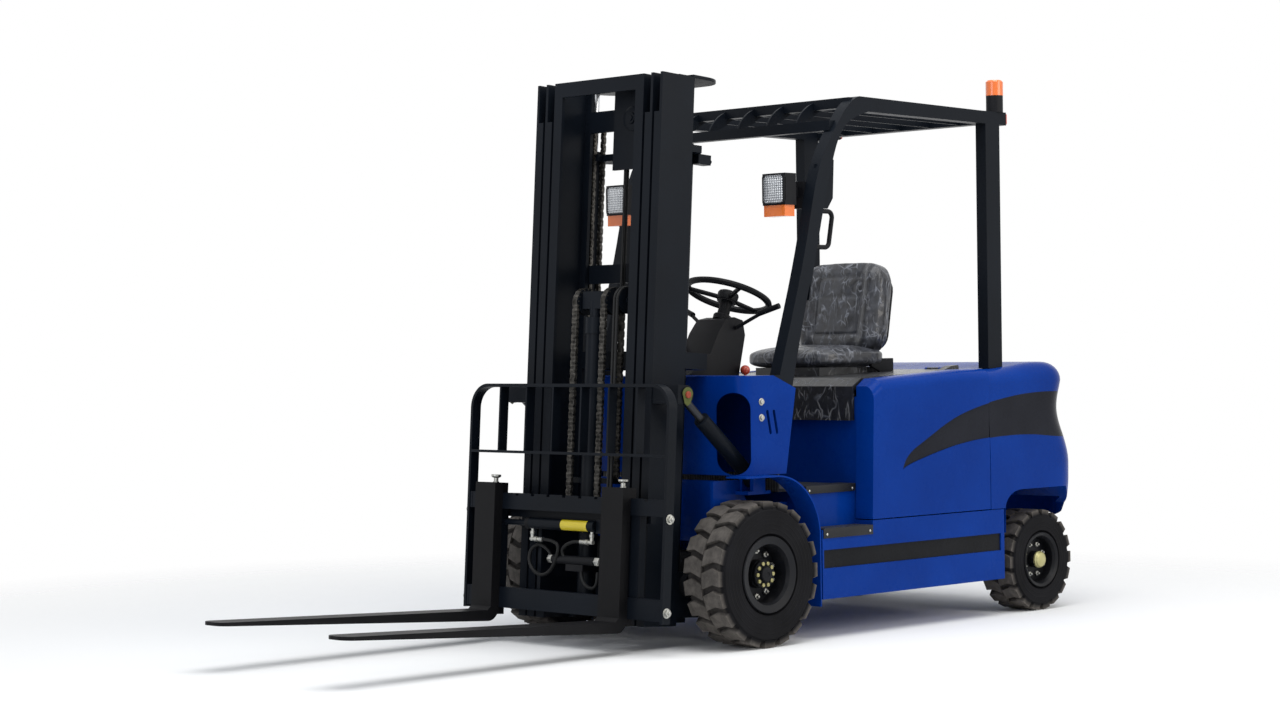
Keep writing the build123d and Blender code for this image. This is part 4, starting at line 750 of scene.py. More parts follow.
elbowArm = (
    (0.0, 0.0), (0.0078, 0.0), (0.0078, 0.024), (0.0105, 0.025), (0.0105, 0.038),
    (0.0080, 0.039), (0.0080, 0.044), (0.0092, 0.045), (0.0092, 0.066), (0.0, 0.066),
)
elbow = {"left": 0.128, "right": -0.190, "stubDrop": 0.064, "armDrop": 0.058, "armBack": 0.008}
elbows = bmesh.new()
for y, inward in ((elbow["right"], 1), (elbow["left"], -1)):
    place = mastFrame @ aim((shiftRam["x"], y, shiftRam["z"] - elbow["stubDrop"]), (0, 0, 1))
    turn(elbows, elbowStub, place, 16)
    start = (shiftRam["x"], y - inward * elbow["armBack"], shiftRam["z"] - elbow["armDrop"])
    turn(elbows, elbowArm, mastFrame @ aim(start, (0, inward, 0)), 16)
newPiece("shiftElbows", elbows, zincPlate, "carriage", "chrome_rod")
valve = {
    "low": -0.085, "high": 0.140, "x": 0.425, "z": 0.298, "radius": 0.0165, "portFrom": 0.07, "portTo": 0.16,
    "port": ((-0.030, 0.010), (0.005, 0.010), (0.005, 0.040), (-0.030, 0.040)),
}
block = bmesh.new()
place = mastFrame @ aim((valve["x"], valve["low"], valve["z"]), (0, 1, 0))
turn(block, disc(valve["radius"], 0.0, valve["high"] - valve["low"]), place, 24)
prism(block, valve["port"], valve["portFrom"], valve["portTo"], place)
newPiece("shiftValve", block, hoodBlack, "carriage", "hood_black", 0.001)
nuts = bmesh.new()
for y, direction in ((valve["low"], -1), (valve["high"], 1)):
    place = mastFrame @ aim((valve["x"], y, valve["z"]), (0, direction, 0))
    hexNut(nuts, place, valve["radius"], 0.024, 0.004)
newPiece("shiftValveNuts", nuts, zincPlate, "carriage", "chrome_rod", 0.0006)
shortHoses = (
    (
        (0.438, -0.128, 0.367), (0.440, -0.085, 0.366), (0.440, -0.040, 0.350), (0.438, -0.062, 0.285),
        (0.436, -0.105, 0.238), (0.434, -0.165, 0.236), (0.430, -0.215, 0.275), (0.426, -0.212, 0.330),
        (0.422, -0.165, 0.352), (0.420, -0.120, 0.330), (0.420, -0.098, 0.300),
    ),
    (
        (0.438, 0.070, 0.367), (0.440, 0.030, 0.366), (0.438, -0.010, 0.352),
        (0.434, -0.035, 0.330), (0.428, -0.020, 0.300), (0.424, 0.000, 0.290),
    ),
    (
        (0.420, 0.060, 0.275), (0.420, 0.062, 0.235), (0.418, 0.085, 0.205),
        (0.416, 0.120, 0.198), (0.414, 0.138, 0.215), (0.414, 0.140, 0.260),
    ),
)
shortHoseRadius = 0.0068
for index, points in enumerate(shortHoses):
    line = [mastFrame @ p for p in smoothLine(points)]
    hosePiece(f"shiftHose_{index}", line, shortHoseRadius, "carriage")

# Bolts of the load backrest and heads of the fork pins
backrestBolts = {
    "x": 0.449, "y": 0.5302, "z": (0.137, 0.465), "washer": (0.018, 0.0025), "nut": (0.0135, 0.011, 0.006),
}
sideBolts("backrestBolts", mastFrame, backrestBolts, "side_shifter")
forkPins = {"x": 0.453, "z": 0.590, "left": 0.296, "right": -0.388}
pinHead = (
    (0.0, -0.021), (0.0115, -0.021), (0.0115, -0.017), (0.0086, -0.016), (0.0086, -0.004),
    (0.0155, -0.001), (0.0185, 0.002), (0.0185, 0.0085), (0.0170, 0.0095), (0.0, 0.0095),
)
for sideName in ("left", "right"):
    place = mastFrame @ Matrix.Translation((forkPins["x"], forkPins[sideName], forkPins["z"]))
    turnedPiece(f"forkPinHead_{sideName}", pinHead, place, 32, zincPlate, f"fork_{sideName}", "chrome_rod")

# Tilt cylinders: keeper plates and painted pin ends, and the bolts beside the cowl's slots
tiltPin = {"x": 0.3159, "y": 0.4665, "z": 0.9083}
pinEnd = ((0.0, 0.0018), (0.0125, 0.0018), (0.0125, 0.0068), (0.0110, 0.0080), (0.0, 0.0084))
keeper = arc(0.027, 190, 350, 10) + [(0.014, 0.032), (0.0, 0.040), (-0.014, 0.032)]
for side, sideName in ((1, "left"), (-1, "right")):
    place = mastFrame @ aim((tiltPin["x"], side * tiltPin["y"], tiltPin["z"]), (0, side, 0))
    turned = place if side > 0 else place @ Matrix.Rotation(math.pi, 4, "Z")
    name = f"tiltPinKeeper_{sideName}"
    prismPiece(name, keeper, 0.0003, 0.0020, turned, oliveEnamel, "outer_mast", "mast_black", 0.0005)
    turnedPiece(f"tiltPinEnd_{sideName}", pinEnd, place, 24, pinPrimer, "outer_mast", "mast_black")
cowlBolts = {
    "x": -0.064, "y": 0.5152, "z": (0.827, 0.885), "washer": (0.0135, 0.0018), "nut": (0.0095, 0.0075),
}
sideBolts("cowlBolts", truckFrame, cowlBolts, "truck")
print("hoses and fittings made")

# Head lamps: bezel and prismed lens; rear lamps on the guard
headLamp = {
    "x": -0.250, "y": 0.420, "z": 1.669, "width": 0.112, "height": 0.118, "rim": 0.014,
    "bulge": 0.0075, "fall": 0.006,
}
outer = roundedOutline(headLamp["width"], headLamp["height"], 0.016)
inner = roundedOutline(headLamp["width"] - headLamp["rim"], headLamp["height"] - headLamp["rim"], 0.013)
for side, sideName in ((1, "left"), (-1, "right")):
    face = truckFrame @ aim((headLamp["x"], side * headLamp["y"], headLamp["z"]), (1, 0, 0), (0, 1, 0))
    bezel = bmesh.new()
    levels = ((outer, -0.004), (outer, 0.003), (inner, 0.006), (inner, 0.001))
    bridge(bezel, [[bezel.verts.new(face @ Vector((x, y, z))) for x, y in outline] for outline, z in levels])
    newPiece(f"headLampBezel_{sideName}", bezel, hoodBlack, "truck", "hood_black")
    lens = bmesh.new()
    centre = lens.verts.new(face @ Vector((0, 0, headLamp["bulge"])))
    rings = []
    for share in (0.35, 0.7, 1.0):
        height = headLamp["bulge"] - headLamp["fall"] * share ** 3
        rings.append([lens.verts.new(face @ Vector((x * share, y * share, height))) for x, y in inner])
    for i in range(len(inner)):
        j = (i + 1) % len(inner)
        lens.faces.new((centre, rings[0][i], rings[0][j]))
        for low, high in zip(rings, rings[1:]):
            lens.faces.new((low[i], high[i], high[j], low[j]))
    newPiece(f"headLampLens_{sideName}", lens, lampGlass, "truck", "chrome_rod")

rearLamp = {
    "x": -1.5455, "y": 0.440, "z": 1.992, "width": 0.110, "height": 0.052, "seam": 0.018, "depth": 0.030,
}
housing = roundedOutline(rearLamp["width"], rearLamp["height"], 0.008)
lens = roundedOutline(rearLamp["width"] - 0.006, rearLamp["height"] - 0.006, 0.006)
seam, depth = rearLamp["seam"], rearLamp["depth"]
for side, sideName in ((1, "left"), (-1, "right")):
    place = truckFrame @ aim((rearLamp["x"], side * rearLamp["y"], rearLamp["z"]), (-1, 0, 0), (0, 1, 0))
    name = f"rearLampHousing_{sideName}"
    prismPiece(name, housing, 0.0, seam, place, hoodBlack, "truck", "hood_black", 0.001)
    prismPiece(f"rearLampLens_{sideName}", lens, seam, depth, place, knobRed, "truck", "beacon_orange", 0.003)
print("lamps made")

# Cab: pedals, ball knob of the parking lever, cap in the middle of the steering wheel
pedal = {
    "x": -0.300, "z": 0.640, "facing": (-0.80, 0, 0.60), "length": 0.095, "corner": 0.010, "plate": 0.006,
    "ribs": 5, "firstRib": -0.036, "ribPitch": 0.017, "ribWidth": 0.007, "ribTop": 0.009, "ribShare": 0.42,
    "armRadius": 0.007, "armLow": -0.02, "armBack": -0.025, "armFootX": -0.262, "armFootZ": 0.575,
}
pedals = bmesh.new()
for y, width in ((0.035, 0.075), (-0.140, 0.060)):
    place = truckFrame @ aim((pedal["x"], y, pedal["z"]), pedal["facing"], (0, 1, 0))
    prism(pedals, roundedOutline(width, pedal["length"], pedal["corner"]), 0.0, pedal["plate"], place)
    half = width * pedal["ribShare"]
    for i in range(pedal["ribs"]):
        low = pedal["firstRib"] + pedal["ribPitch"] * i
        high = low + pedal["ribWidth"]
        rib = ((-half, low), (half, low), (half, high), (-half, high))
        prism(pedals, rib, pedal["plate"], pedal["ribTop"], place)
    arm = [place @ Vector((0, pedal["armLow"], depth)) for depth in (0.0, pedal["armBack"])]
    arm.append(onTruck(pedal["armFootX"], y, pedal["armFootZ"]))
    tube(pedals, arm, pedal["armRadius"], 8)
newPiece("pedals", pedals, hoodBlack, "truck", "hood_black", 0.0006)
parking = {"place": (-0.424, 0.100, 0.978), "radius": 0.019, "middle": 0.018, "neck": 0.0055, "foot": -0.045}
ball = arc(parking["radius"], 18, 180, 9)
place = truckFrame @ aim(parking["place"], (0, 0, 1))
profile = [(parking["neck"], parking["foot"]), (parking["neck"], 0.0)]
profile += [(max(0.0, across), parking["middle"] - drop) for drop, across in ball]
turnedPiece("parkingKnob", profile, place, 24, knobRed, "truck", "beacon_orange")
steering = {"centre": Vector((-0.440, 0.0, 1.285)), "lean": math.radians(22), "cap": 0.008, "collar": 0.105}
axis = Vector((-math.sin(steering["lean"]), 0, math.cos(steering["lean"])))
wheelCap = ((0.0405, -0.030), (0.0415, -0.004), (0.038, 0.003), (0.030, 0.007), (0.012, 0.0095), (0.0, 0.010))
place = truckFrame @ aim(steering["centre"] + axis * steering["cap"], axis, (0, 1, 0))
turnedPiece("steeringWheelCap", wheelCap, place, 40, hoodBlack, "steering_wheel", "hood_black")
print("cab fittings made")


# Layers of creases in the seat's film: turn, width of a cell, stretch and sharpness
filmFolds = ((0.6, 0.060, 3.4, 8.0), (-0.8, 0.036, 4.2, 5.0), (1.7, 0.026, 3.4, 4.0))


# Seat: cushion and back as padded forms with sewn channels, under clear crinkled film
def vinylUnderFilm(name, low, high, paintedGlint):
    # Dark vinyl below a clear polythene cover: the film's long creases are painted into the colour as thin
    # bright streaks, a painted highlight where they would catch light
    material, tree, shader, coords = newMaterial(name)
    ridges = 0.0
    inputs = {"Vector": coords, "Scale": 9.0, "Detail": 2.0}
    sway = addNode(tree, "ShaderNodeTexNoise", inputs).outputs["Color"]
    bent = vectorMaths(tree, "ADD", coords, vectorMaths(tree, "MULTIPLY", sway, (0.11, 0.11, 0.11))[0])[0]
    for turnedBy, cell, stretch, sharp in filmFolds:
        size = (1 / cell, 1 / cell, 1 / (cell * stretch))
        inputs = {"Vector": bent, "Rotation": (turnedBy, 0.5 * turnedBy, 0.3), "Scale": size}
        laid = addNode(tree, "ShaderNodeMapping", inputs).outputs[0]
        inputs = {"Vector": laid, "Scale": 1.0}
        cells = addNode(tree, "ShaderNodeTexVoronoi", inputs, feature="DISTANCE_TO_EDGE")
        edge = maths(tree, "MULTIPLY", cells.outputs["Distance"], sharp * 2.2)
        thin = maths(tree, "POWER", maths(tree, "SUBTRACT", 1.0, edge, clamp=True), 1.6)
        blotch = maths(tree, "SUBTRACT", noise(tree, coords, cell * 1.9, 2.0), 0.50)
        near = maths(tree, "MULTIPLY", blotch, 6.0, clamp=True)
        ridges = maths(tree, "MAXIMUM", ridges, maths(tree, "MULTIPLY", thin, near))
    ground = ramp(tree, noise(tree, coords, 0.035, 6.0), (0.35, low), (0.68, high))
    # Painted highlight: the crease lines lighten the colour towards pale grey, as if they caught light
    wire(
        tree,
        shader,
        Base_Color=mix(tree, maths(tree, "MULTIPLY", ridges, paintedGlint, clamp=True), ground, linear("9a9ea8")),
        Roughness=0.5,
        Specular_IOR_Level=0.35,
        Coat_Weight=0.55,
        Coat_Roughness=0.16,
        Normal=bump(tree, noise(tree, coords, 0.0011, 2.0), 0.00012),
        Coat_Normal=bump(tree, ridges, 0.003, 0.8),
    )
    return material


# Step plate, black enamel scuffed by boots
stepBlack = paint("stepBlack", "111215", "1e1f22", 0.5, grain=0.004, depth=0.0003, mirror=0.25)
# Charcoal vinyl of the cushions under creased polythene film, with painted highlight streaks along its
# creases
filmedVinyl = vinylUnderFilm("filmedVinyl", "15161b", "34373f", 0.62)
# Gloss black hood cover under the same film, with fainter painted highlight streaks
filmedHood = vinylUnderFilm("filmedHood", "0a0b0e", "16181d", 0.3)
for nodeName in ("hood", "seat_base"):
    frame["nodes"][nodeName].data.materials[0] = filmedHood


def padForm(cuts, power, halfSize, shape):
    # A rounded cube grid: each point is pushed onto a soft box and then shaped
    sheet = bmesh.new()
    bmesh.ops.create_cube(sheet, size=2.0)
    bmesh.ops.subdivide_edges(sheet, edges=sheet.edges[:], cuts=cuts, use_grid_fill=True)
    for vert in sheet.verts:
        p = vert.co
        grow = (abs(p.x) ** power + abs(p.y) ** power + abs(p.z) ** power) ** (1 / power)
        unit = p / grow
        vert.co = shape(Vector((unit.x * halfSize[0], unit.y * halfSize[1], unit.z * halfSize[2])), unit)
    return sheet


def groove(distance, width):
    return math.exp(-((distance / width) ** 2))


cushion = {
    "centre": (-0.945, 0.0, 1.0385), "half": (0.209, 0.228, 0.0385), "crown": 0.010,
    "seam": 0.135, "panel": 0.150, "cross": (-0.05, 0.05), "stitch": 0.0055, "sink": 0.007,
}


def cushionShape(p, unit):
    top = max(0.0, unit.z)
    rim = 1 - min(1.0, (abs(unit.x) ** 2.4 + abs(unit.y) ** 2.4))
    p.z += top * cushion["crown"] * max(0.0, rim) * 1.6 - top * 0.006
    channel = 0.0
    if abs(p.x) < cushion["panel"]:
        channel = groove(abs(p.y) - cushion["seam"], cushion["stitch"])
    if abs(p.y) < cushion["seam"]:
        channel = max(channel, groove(abs(p.x) - cushion["panel"], cushion["stitch"]))
        for across in cushion["cross"]:
            channel = max(channel, 0.7 * groove(p.x - across, cushion["stitch"]))
    p.z -= top * channel * cushion["sink"]
    p.x -= 0.012 * top * max(0.0, unit.x) ** 4
    return p


# rows gives the height of each seam across the back, and how deep it is sewn
backPad = {
    "foot": (-1.096, 0.0, 1.048), "lean": 10.0, "half": (0.052, 0.2145, 0.189), "wing": 0.020,
    "seam": 0.118, "rows": ((-0.115, 1.0), (0.040, 0.6), (0.125, 1.0)), "stitch": 0.006, "sink": 0.009,
}


def backShape(p, unit):
    front = max(0.0, unit.x)
    high = p.z / backPad["half"][2]
    p.y *= 1.0 - 0.07 * max(0.0, high) ** 3
    p.x *= 1.0 - 0.30 * max(0.0, high) ** 2
    wing = max(0.0, abs(unit.y) - 0.55) / 0.45
    p.x += front * (backPad["wing"] * math.sin(min(1.0, wing * 1.3) * math.pi * 0.75) - 0.006)
    channel = 0.0
    if backPad["rows"][0][0] < p.z < backPad["rows"][-1][0]:
        channel = groove(abs(p.y) - backPad["seam"], backPad["stitch"])
    if abs(p.y) < backPad["seam"]:
        for height, share in backPad["rows"]:
            channel = max(channel, share * groove(p.z - height, backPad["stitch"]))
    p.x -= front * channel * backPad["sink"]
    return p


padAir = {"pressure": 4.0, "frames": 14, "limit": 0.006, "share": 0.5}
filmFold = {"scale": 11.0, "depth": 0.0034, "level": 0.55}


def blownUp(piece):
    # Places of the piece's points once cloth has been blown up a little
    cloth = piece.modifiers.new("air", "CLOTH")
    cloth.settings.use_pressure = True
    cloth.settings.uniform_pressure_force = padAir["pressure"]
    cloth.settings.effector_weights.gravity = 0.0
    cloth.settings.quality = 5
    cloth.settings.tension_stiffness = 30
    cloth.settings.bending_stiffness = 2.0
    cloth.point_cache.frame_start = 1
    cloth.point_cache.frame_end = padAir["frames"]
    for number in range(1, padAir["frames"] + 1):
        scene.frame_set(number)
    seen = piece.evaluated_get(bpy.context.evaluated_depsgraph_get())
    places = [v.co.copy() for v in seen.to_mesh().vertices]
    seen.to_mesh_clear()
    piece.modifiers.clear()
    scene.frame_set(1)
    return places


def softened(sheet, name, nodeName, place):
    # Blows the form up a little, then lays the film's folds on it
    sheet.transform(place)
    piece = meshPiece(name, sheet)
    mesh = piece.data
    for vert, after in zip(mesh.vertices, blownUp(piece)):
        move = after - vert.co
        if move.length > padAir["limit"]:
            move *= padAir["limit"] / move.length
        vert.co += move * padAir["share"]
    mesh.update()
    normals = [v.normal.copy() for v in mesh.vertices]
    for vert, normal in zip(mesh.vertices, normals):
        spot = vert.co * filmFold["scale"]
        fold = noiseKit.turbulence(spot + noiseKit.noise_vector(spot * 0.8) * 0.9, 3, True)
        vert.co += normal * filmFold["depth"] * (fold - filmFold["level"])
    for polygon in mesh.polygons:
        polygon.use_smooth = True
    mesh.materials.append(filmedVinyl)
    smooth = piece.modifiers.new("finer", "SUBSURF")
    smooth.levels = smooth.render_levels = 1
    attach(piece, "hood")
    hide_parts(nodeName)


cushionPlace = truckFrame @ Matrix.Translation(cushion["centre"])
softened(padForm(38, 5.0, cushion["half"], cushionShape), "seatCushionPad", "seat_cushion", cushionPlace)
backPlace = (
    truckFrame
    @ Matrix.Translation(backPad["foot"])
    @ Matrix.Rotation(math.radians(-backPad["lean"]), 4, "Y")
    @ Matrix.Translation((0, 0, backPad["half"][2]))
)
softened(padForm(40, 5.5, backPad["half"], backShape), "seatBackPad", "seat_back", backPlace)

# Shell behind the back, and the brackets that carry it
shell = {"height": 0.300, "width": 0.400, "corner": 0.060, "half": 0.012, "behind": 0.86, "drop": 0.015}
outline = roundedOutline(shell["height"], shell["width"], shell["corner"])
place = (
    backPlace
    @ Matrix.Translation((-backPad["half"][0] * shell["behind"], 0, -shell["drop"]))
    @ Matrix.Rotation(math.radians(90), 4, "Y")
)
half = shell["half"]
prismPiece("seatBackShell", outline, -half, half, place, hoodBlack, "hood", "hood_black", 0.008)
bracket = {
    "x": -1.100, "y": 0.200, "z": 1.020, "thickness": 0.014,
    "outline": (
        (-0.075, -0.012), (0.060, -0.012), (0.060, 0.020), (0.010, 0.040),
        (-0.010, 0.115), (-0.050, 0.115), (-0.075, 0.040),
    ),
}
brackets = bmesh.new()
for side in (1, -1):
    place = truckFrame @ aim((bracket["x"], side * bracket["y"], bracket["z"]), (0, side, 0))
    prism(brackets, [(x, side * y) for x, y in bracket["outline"]], 0.0, bracket["thickness"], place)
newPiece("seatBrackets", brackets, hoodBlack, "hood", "hood_black", 0.003)
print("seat made")

# Mast top: the rear tie plate with its rounded corners, and the pulley's cap
topPlate = {"front": 0.190, "rear": 0.006, "half": 0.318, "corner": 0.110, "low": 2.0728, "high": 2.0855}
half, corner = topPlate["half"], topPlate["corner"]
outline = [(topPlate["front"], -half), (topPlate["front"], half)]
outline += arc(corner, 90, 180, 8, (topPlate["rear"] + corner, half - corner))
outline += arc(corner, 180, 270, 8, (topPlate["rear"] + corner, corner - half))
levels = (topPlate["low"], topPlate["high"])
prismPiece("mastTopPlate", outline, *levels, mastFrame, mastBlack, "middle_mast", "mast_black", 0.002)
pulleyCap = (
    (0.046, 0.0), (0.046, 0.004), (0.040, 0.008), (0.022, 0.008),
    (0.020, 0.014), (0.012, 0.014), (0.011, 0.018), (0.0, 0.018),
)
place = mastFrame @ aim((0.2502, topHose["y"], topHose["z"]), (1, 0, 0), (0, 1, 0))
turnedPiece("hangerPulleyCap", pulleyCap, place, 40, mastBlack, "inner_mast", "mast_black")

# Steps: black edge plates with two screws each
stepEdge = {"rear": -0.607, "front": -0.327, "deep": -0.080, "face": 0.0035, "top": 0.0038, "screw": 0.018}
stepLevels = {
    "low": {"y": 0.5752, "top": 0.4052, "lip": 0.032},
    "high": {"y": 0.4902, "top": 0.5602, "lip": 0.026},
}
screwHead = ((0.0052, 0.0), (0.0048, 0.0016), (0.0030, 0.0026), (0.0, 0.0030))
deep, face, over = stepEdge["deep"], stepEdge["face"], stepEdge["top"]
long = stepEdge["front"] - stepEdge["rear"]
screws = bmesh.new()
for side, sideName in ((1, "left"), (-1, "right")):
    for level, edge in stepLevels.items():
        lip = edge["lip"]
        profile = ((deep, 0.0), (0.0, 0.0), (0.0, -lip), (face, -lip), (face, over), (deep, over))
        place = truckFrame @ Matrix.Translation((stepEdge["rear"], side * edge["y"], edge["top"]))
        place = place @ Matrix(((0, 0, 1, 0), (side, 0, 0, 0), (0, 1, 0, 0), (0, 0, 0, 1)))
        name = f"stepEdge_{level}_{sideName}"
        prismPiece(name, profile, 0.0, long, place, stepBlack, "truck", "tread_plate", 0.001)
        for x in (stepEdge["rear"] + stepEdge["screw"], stepEdge["front"] - stepEdge["screw"]):
            spot = (x, side * (edge["y"] + face - 0.0001), edge["top"] - lip * 0.55)
            turn(screws, screwHead, truckFrame @ aim(spot, (0, side, 0)), 16)
newPiece("stepScrews", screws, zincPlate, "truck", "chrome_rod")

# Steering column casing with the console beside it and the collar under the wheel
place = truckFrame @ upright
casingHalf = 0.078
casing = (
    (-0.135, 0.9815), (-0.255, 1.060), (-0.300, 1.140), (-0.345, 1.192), (-0.395, 1.200), (-0.440, 1.188),
    (-0.452, 1.130), (-0.425, 1.020), (-0.405, 0.935), (-0.380, 0.912), (-0.262, 0.912), (-0.253, 0.933),
    (-0.150, 0.9815),
)
piece = prismPiece(
    "columnCasing", casing, -casingHalf, casingHalf, place, hoodBlack, "truck", "hood_black", 0.014, 25
)
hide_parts("steering_column")
console = (
    (-0.150, 0.9815), (-0.215, 1.098), (-0.235, 1.112), (-0.345, 1.096),
    (-0.362, 1.075), (-0.352, 0.965), (-0.335, 0.930), (-0.262, 0.925),
)
prismPiece("dashConsole", console, -0.265, -0.085, place, hoodBlack, "truck", "hood_black", 0.010, 25)
collar = (
    (0.0, 0.0), (0.036, 0.0), (0.036, 0.018), (0.033, 0.022), (0.024, 0.024), (0.023, 0.085), (0.0, 0.085),
)
place = truckFrame @ aim(steering["centre"] - axis * steering["collar"], axis, (0, 1, 0))
turnedPiece("columnCollar", collar, place, 32, hoodBlack, "truck", "hood_black")
print("mast top, steps and column made")

# Counterweight: the cast form, with rounded top edges, a waist behind the flash and curved wheel arches
cast = {
    "front": -1.334, "corner": 0.150, "topRound": 0.058, "rise": 0.025, "riseFrom": -1.380, "riseTo": -1.700,
}
# Height, half width and rear face, from the foot to where the top begins to round
castRows = (
    (0.330, 0.5750, -1.760), (0.362, 0.5750, -1.912), (0.430, 0.5750, -1.932), (0.500, 0.5750, -1.948),
    (0.560, 0.5750, -1.950), (0.620, 0.5750, -1.950), (0.690, 0.5735, -1.926), (0.760, 0.5700, -1.892),
    (0.815, 0.5680, -1.879), (0.870, 0.5690, -1.886), (0.925, 0.5720, -1.905),
)


def castOutline(halfWidth, rear, z):
    # One level of the casting: from the left front corner round the rear to the right front corner
    turnStart = rear + cast["corner"]
    points = [(cast["front"] + (turnStart - cast["front"]) * i / 14, halfWidth) for i in range(15)]
    points += arc(cast["corner"], 90, 180, 12, (turnStart, halfWidth - cast["corner"]))[1:]
    points += [(x, -y) for x, y in reversed(points)]
    lifted = []
    for x, y in points:
        share = min(1.0, max(0.0, (cast["riseFrom"] - x) / (cast["riseFrom"] - cast["riseTo"])))
        share = share * share * (3 - 2 * share) * min(1.0, max(0.0, (z - 0.90) / 0.085))
        lifted.append(onTruck(x, y, z + cast["rise"] * share))
    return lifted


def castBody(sheet):
    rows = [tuple(row) for row in smoothLine(castRows, 2)]
    high, half, rear = castRows[-1]
    for inward, up in arc(cast["topRound"], 0, 90, 8)[1:]:
        back = cast["topRound"] - inward
        rows.append((high + up, half - back, rear + back))
    loops = [[sheet.verts.new(p) for p in castOutline(half, rear, z)] for z, half, rear in rows]
    bridge(sheet, loops, closed=False)
    # Top, foot and front face close it, in strips from side to side
    for loop in (loops[0], loops[-1]):
        count = len(loop)
        for i in range(count // 2 - 1):
            sheet.faces.new((loop[i], loop[i + 1], loop[count - 2 - i], loop[count - 1 - i]))
    sheet.faces.new([loop[0] for loop in loops] + [loop[-1] for loop in reversed(loops)])


def plainMesh(name, sheet):
    bmesh.ops.recalc_face_normals(sheet, faces=sheet.faces)
    return meshPiece(name, sheet)


arch = {
    "front": -1.426, "side": 0.425, "crown": -1.535, "top": 0.498, "tail": -1.835, "rear": -1.901,
    "inner": 0.290, "outer": 0.70, "foot": 0.20,
}
# Room for the steer axle, and the radius, foot and top of the rooms that the steered tyres sweep
axleRoom = {"front": -1.20, "rear": -1.4255, "top": 0.4275, "half": 0.71}
kingpin = {"x": -1.676, "y": 0.370, "rooms": ((0.2920, 0.20, 0.362), (0.2440, 0.361, 0.450))}
hingeLugs = {"x": -1.322, "z": 0.984, "y": (-0.335, -0.265, 0.265, 0.335), "radius": 0.008, "half": 0.005}
body = bmesh.new()
castBody(body)
solid = plainMesh("castSolid", body)
cutter = bmesh.new()
outline = [(arch["front"], arch["foot"]), (arch["front"], arch["side"])]
for ahead, up in arc(1.0, 0, 90, 8)[1:]:
    x = arch["crown"] + (arch["front"] - arch["crown"]) * ahead
    outline.append((x, arch["side"] + (arch["top"] - arch["side"]) * up))
outline += [(arch["tail"], arch["top"]), (arch["rear"], arch["side"]), (arch["rear"], arch["foot"])]
for low, high in ((arch["inner"], arch["outer"]), (-arch["outer"], -arch["inner"])):
    prism(cutter, outline, low, high, truckFrame @ upright)
front, rear, top, half = axleRoom["front"], axleRoom["rear"], axleRoom["top"], axleRoom["half"]
outline = ((front, arch["foot"]), (front, top), (rear, top), (rear, arch["foot"]))
prism(cutter, outline, -half, half, truckFrame @ upright)
for radius, low, high in kingpin["rooms"]:
    for y in (kingpin["y"], -kingpin["y"]):
        turn(cutter, disc(radius, low, high), truckFrame @ Matrix.Translation((kingpin["x"], y, 0)), 72)
wells = plainMesh("castWells", cutter)
trim = solid.modifiers.new("arches", "BOOLEAN")
trim.operation = "DIFFERENCE"
trim.solver = "EXACT"
trim.use_self = True
trim.object = wells
bpy.context.view_layer.update()
shaped = bpy.data.meshes.new_from_object(solid.evaluated_get(bpy.context.evaluated_depsgraph_get()))
for thing in (solid, wells):
    bpy.data.objects.remove(thing)
casting = bmesh.new()
casting.from_mesh(shaped)
bpy.data.meshes.remove(shaped)
for y in hingeLugs["y"]:
    place = truckFrame @ aim((hingeLugs["x"], y - hingeLugs["half"], hingeLugs["z"]), (0, 1, 0))
    turn(casting, disc(hingeLugs["radius"], 0.0, 2 * hingeLugs["half"]), place, 16)
piece = newPiece("counterweightCasting", casting, castBlue, "truck", "body_blue", 0.0, 28)
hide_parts("counterweight")
print("counterweight made")

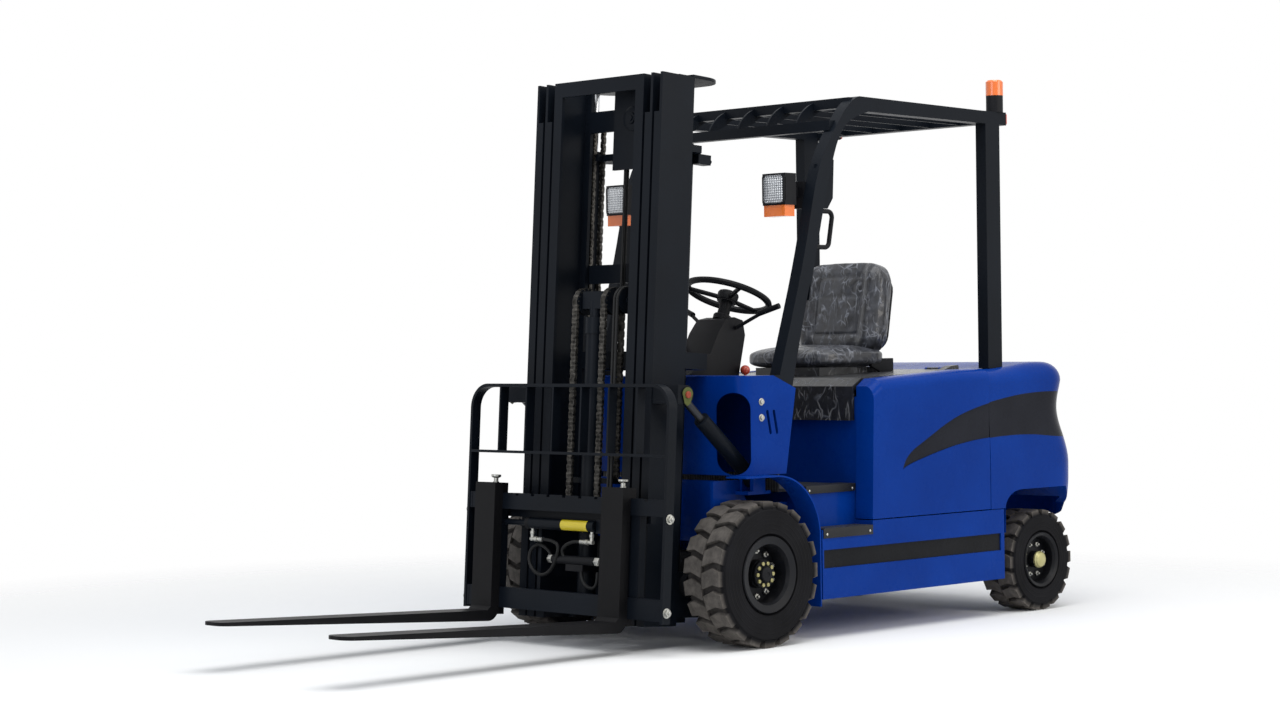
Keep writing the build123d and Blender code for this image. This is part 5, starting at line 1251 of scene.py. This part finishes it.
# Floor: white near the truck and fading into the background, so that it shows no horizon
floorSheet = bmesh.new()
bmesh.ops.create_grid(floorSheet, x_segments=1, y_segments=1, size=9.0)
floorPiece = meshPiece("floor", floorSheet)
floorFade = {"from": 1.8, "over": 2.4}
floorMaterial, tree, shader, coords = newMaterial("paleFloor")
wire(tree, shader, Base_Color=linear("f4f4f3"), Roughness=0.9, Specular_IOR_Level=0.1)
clear = addNode(tree, "ShaderNodeBsdfTransparent")
distance = vectorMaths(tree, "LENGTH", coords)["Value"]
past = maths(tree, "SUBTRACT", distance, floorFade["from"])
fade = maths(tree, "MULTIPLY", past, 1 / floorFade["over"], clamp=True)
both = addNode(tree, "ShaderNodeMixShader", {0: fade, 1: shader.outputs[0], 2: clear.outputs[0]})
tree.links.new(both.outputs[0], tree.nodes[0].inputs[0])
floorPiece.data.materials.append(floorMaterial)

# White background for the camera and in reflections, softer grey sky for the light
world = bpy.data.worlds.new("studio")
scene.world = world
world.use_nodes = True
tree = world.node_tree
tree.nodes.clear()
worldOut = addNode(tree, "ShaderNodeOutputWorld")
seen = addNode(tree, "ShaderNodeBackground", {0: (1, 1, 1, 1), 1: 1.0})
lit = addNode(tree, "ShaderNodeBackground", {0: linear("e6ebf2"), 1: 0.6})
path = addNode(tree, "ShaderNodeLightPath")
direct = maths(tree, "MAXIMUM", path.outputs["Is Camera Ray"], path.outputs["Is Transmission Ray"])
direct = maths(tree, "MAXIMUM", direct, path.outputs["Is Glossy Ray"])
both = addNode(tree, "ShaderNodeMixShader", {0: direct, 1: lit.outputs[0], 2: seen.outputs[0]})
tree.links.new(both.outputs[0], worldOut.inputs[0])


def areaLight(name, place, target, width, height, power, colour="ffffff"):
    data = bpy.data.lights.new(name, "AREA")
    data.shape = "RECTANGLE"
    data.size = width
    data.size_y = height
    data.energy = power
    data.color = linear(colour)[:3]
    light = bpy.data.objects.new(name, data)
    scene.collection.objects.link(light)
    light.location = place
    light.rotation_euler = (Vector(target) - Vector(place)).to_track_quat("-Z", "Y").to_euler()


areaLight("skyPanel", (0.5, 1.5, 6.0), (0.0, 0.0, 0.8), 6.0, 5.0, 300)
areaLight("leftPanel", (-2.5, 6.5, 3.2), (-0.6, 0.0, 0.8), 4.0, 3.0, 135, "fff8ee")
areaLight("frontPanel", (7.0, 1.0, 2.6), (0.2, 0.0, 1.0), 3.0, 3.0, 95, "f2f6ff")
print("floor and lights made")
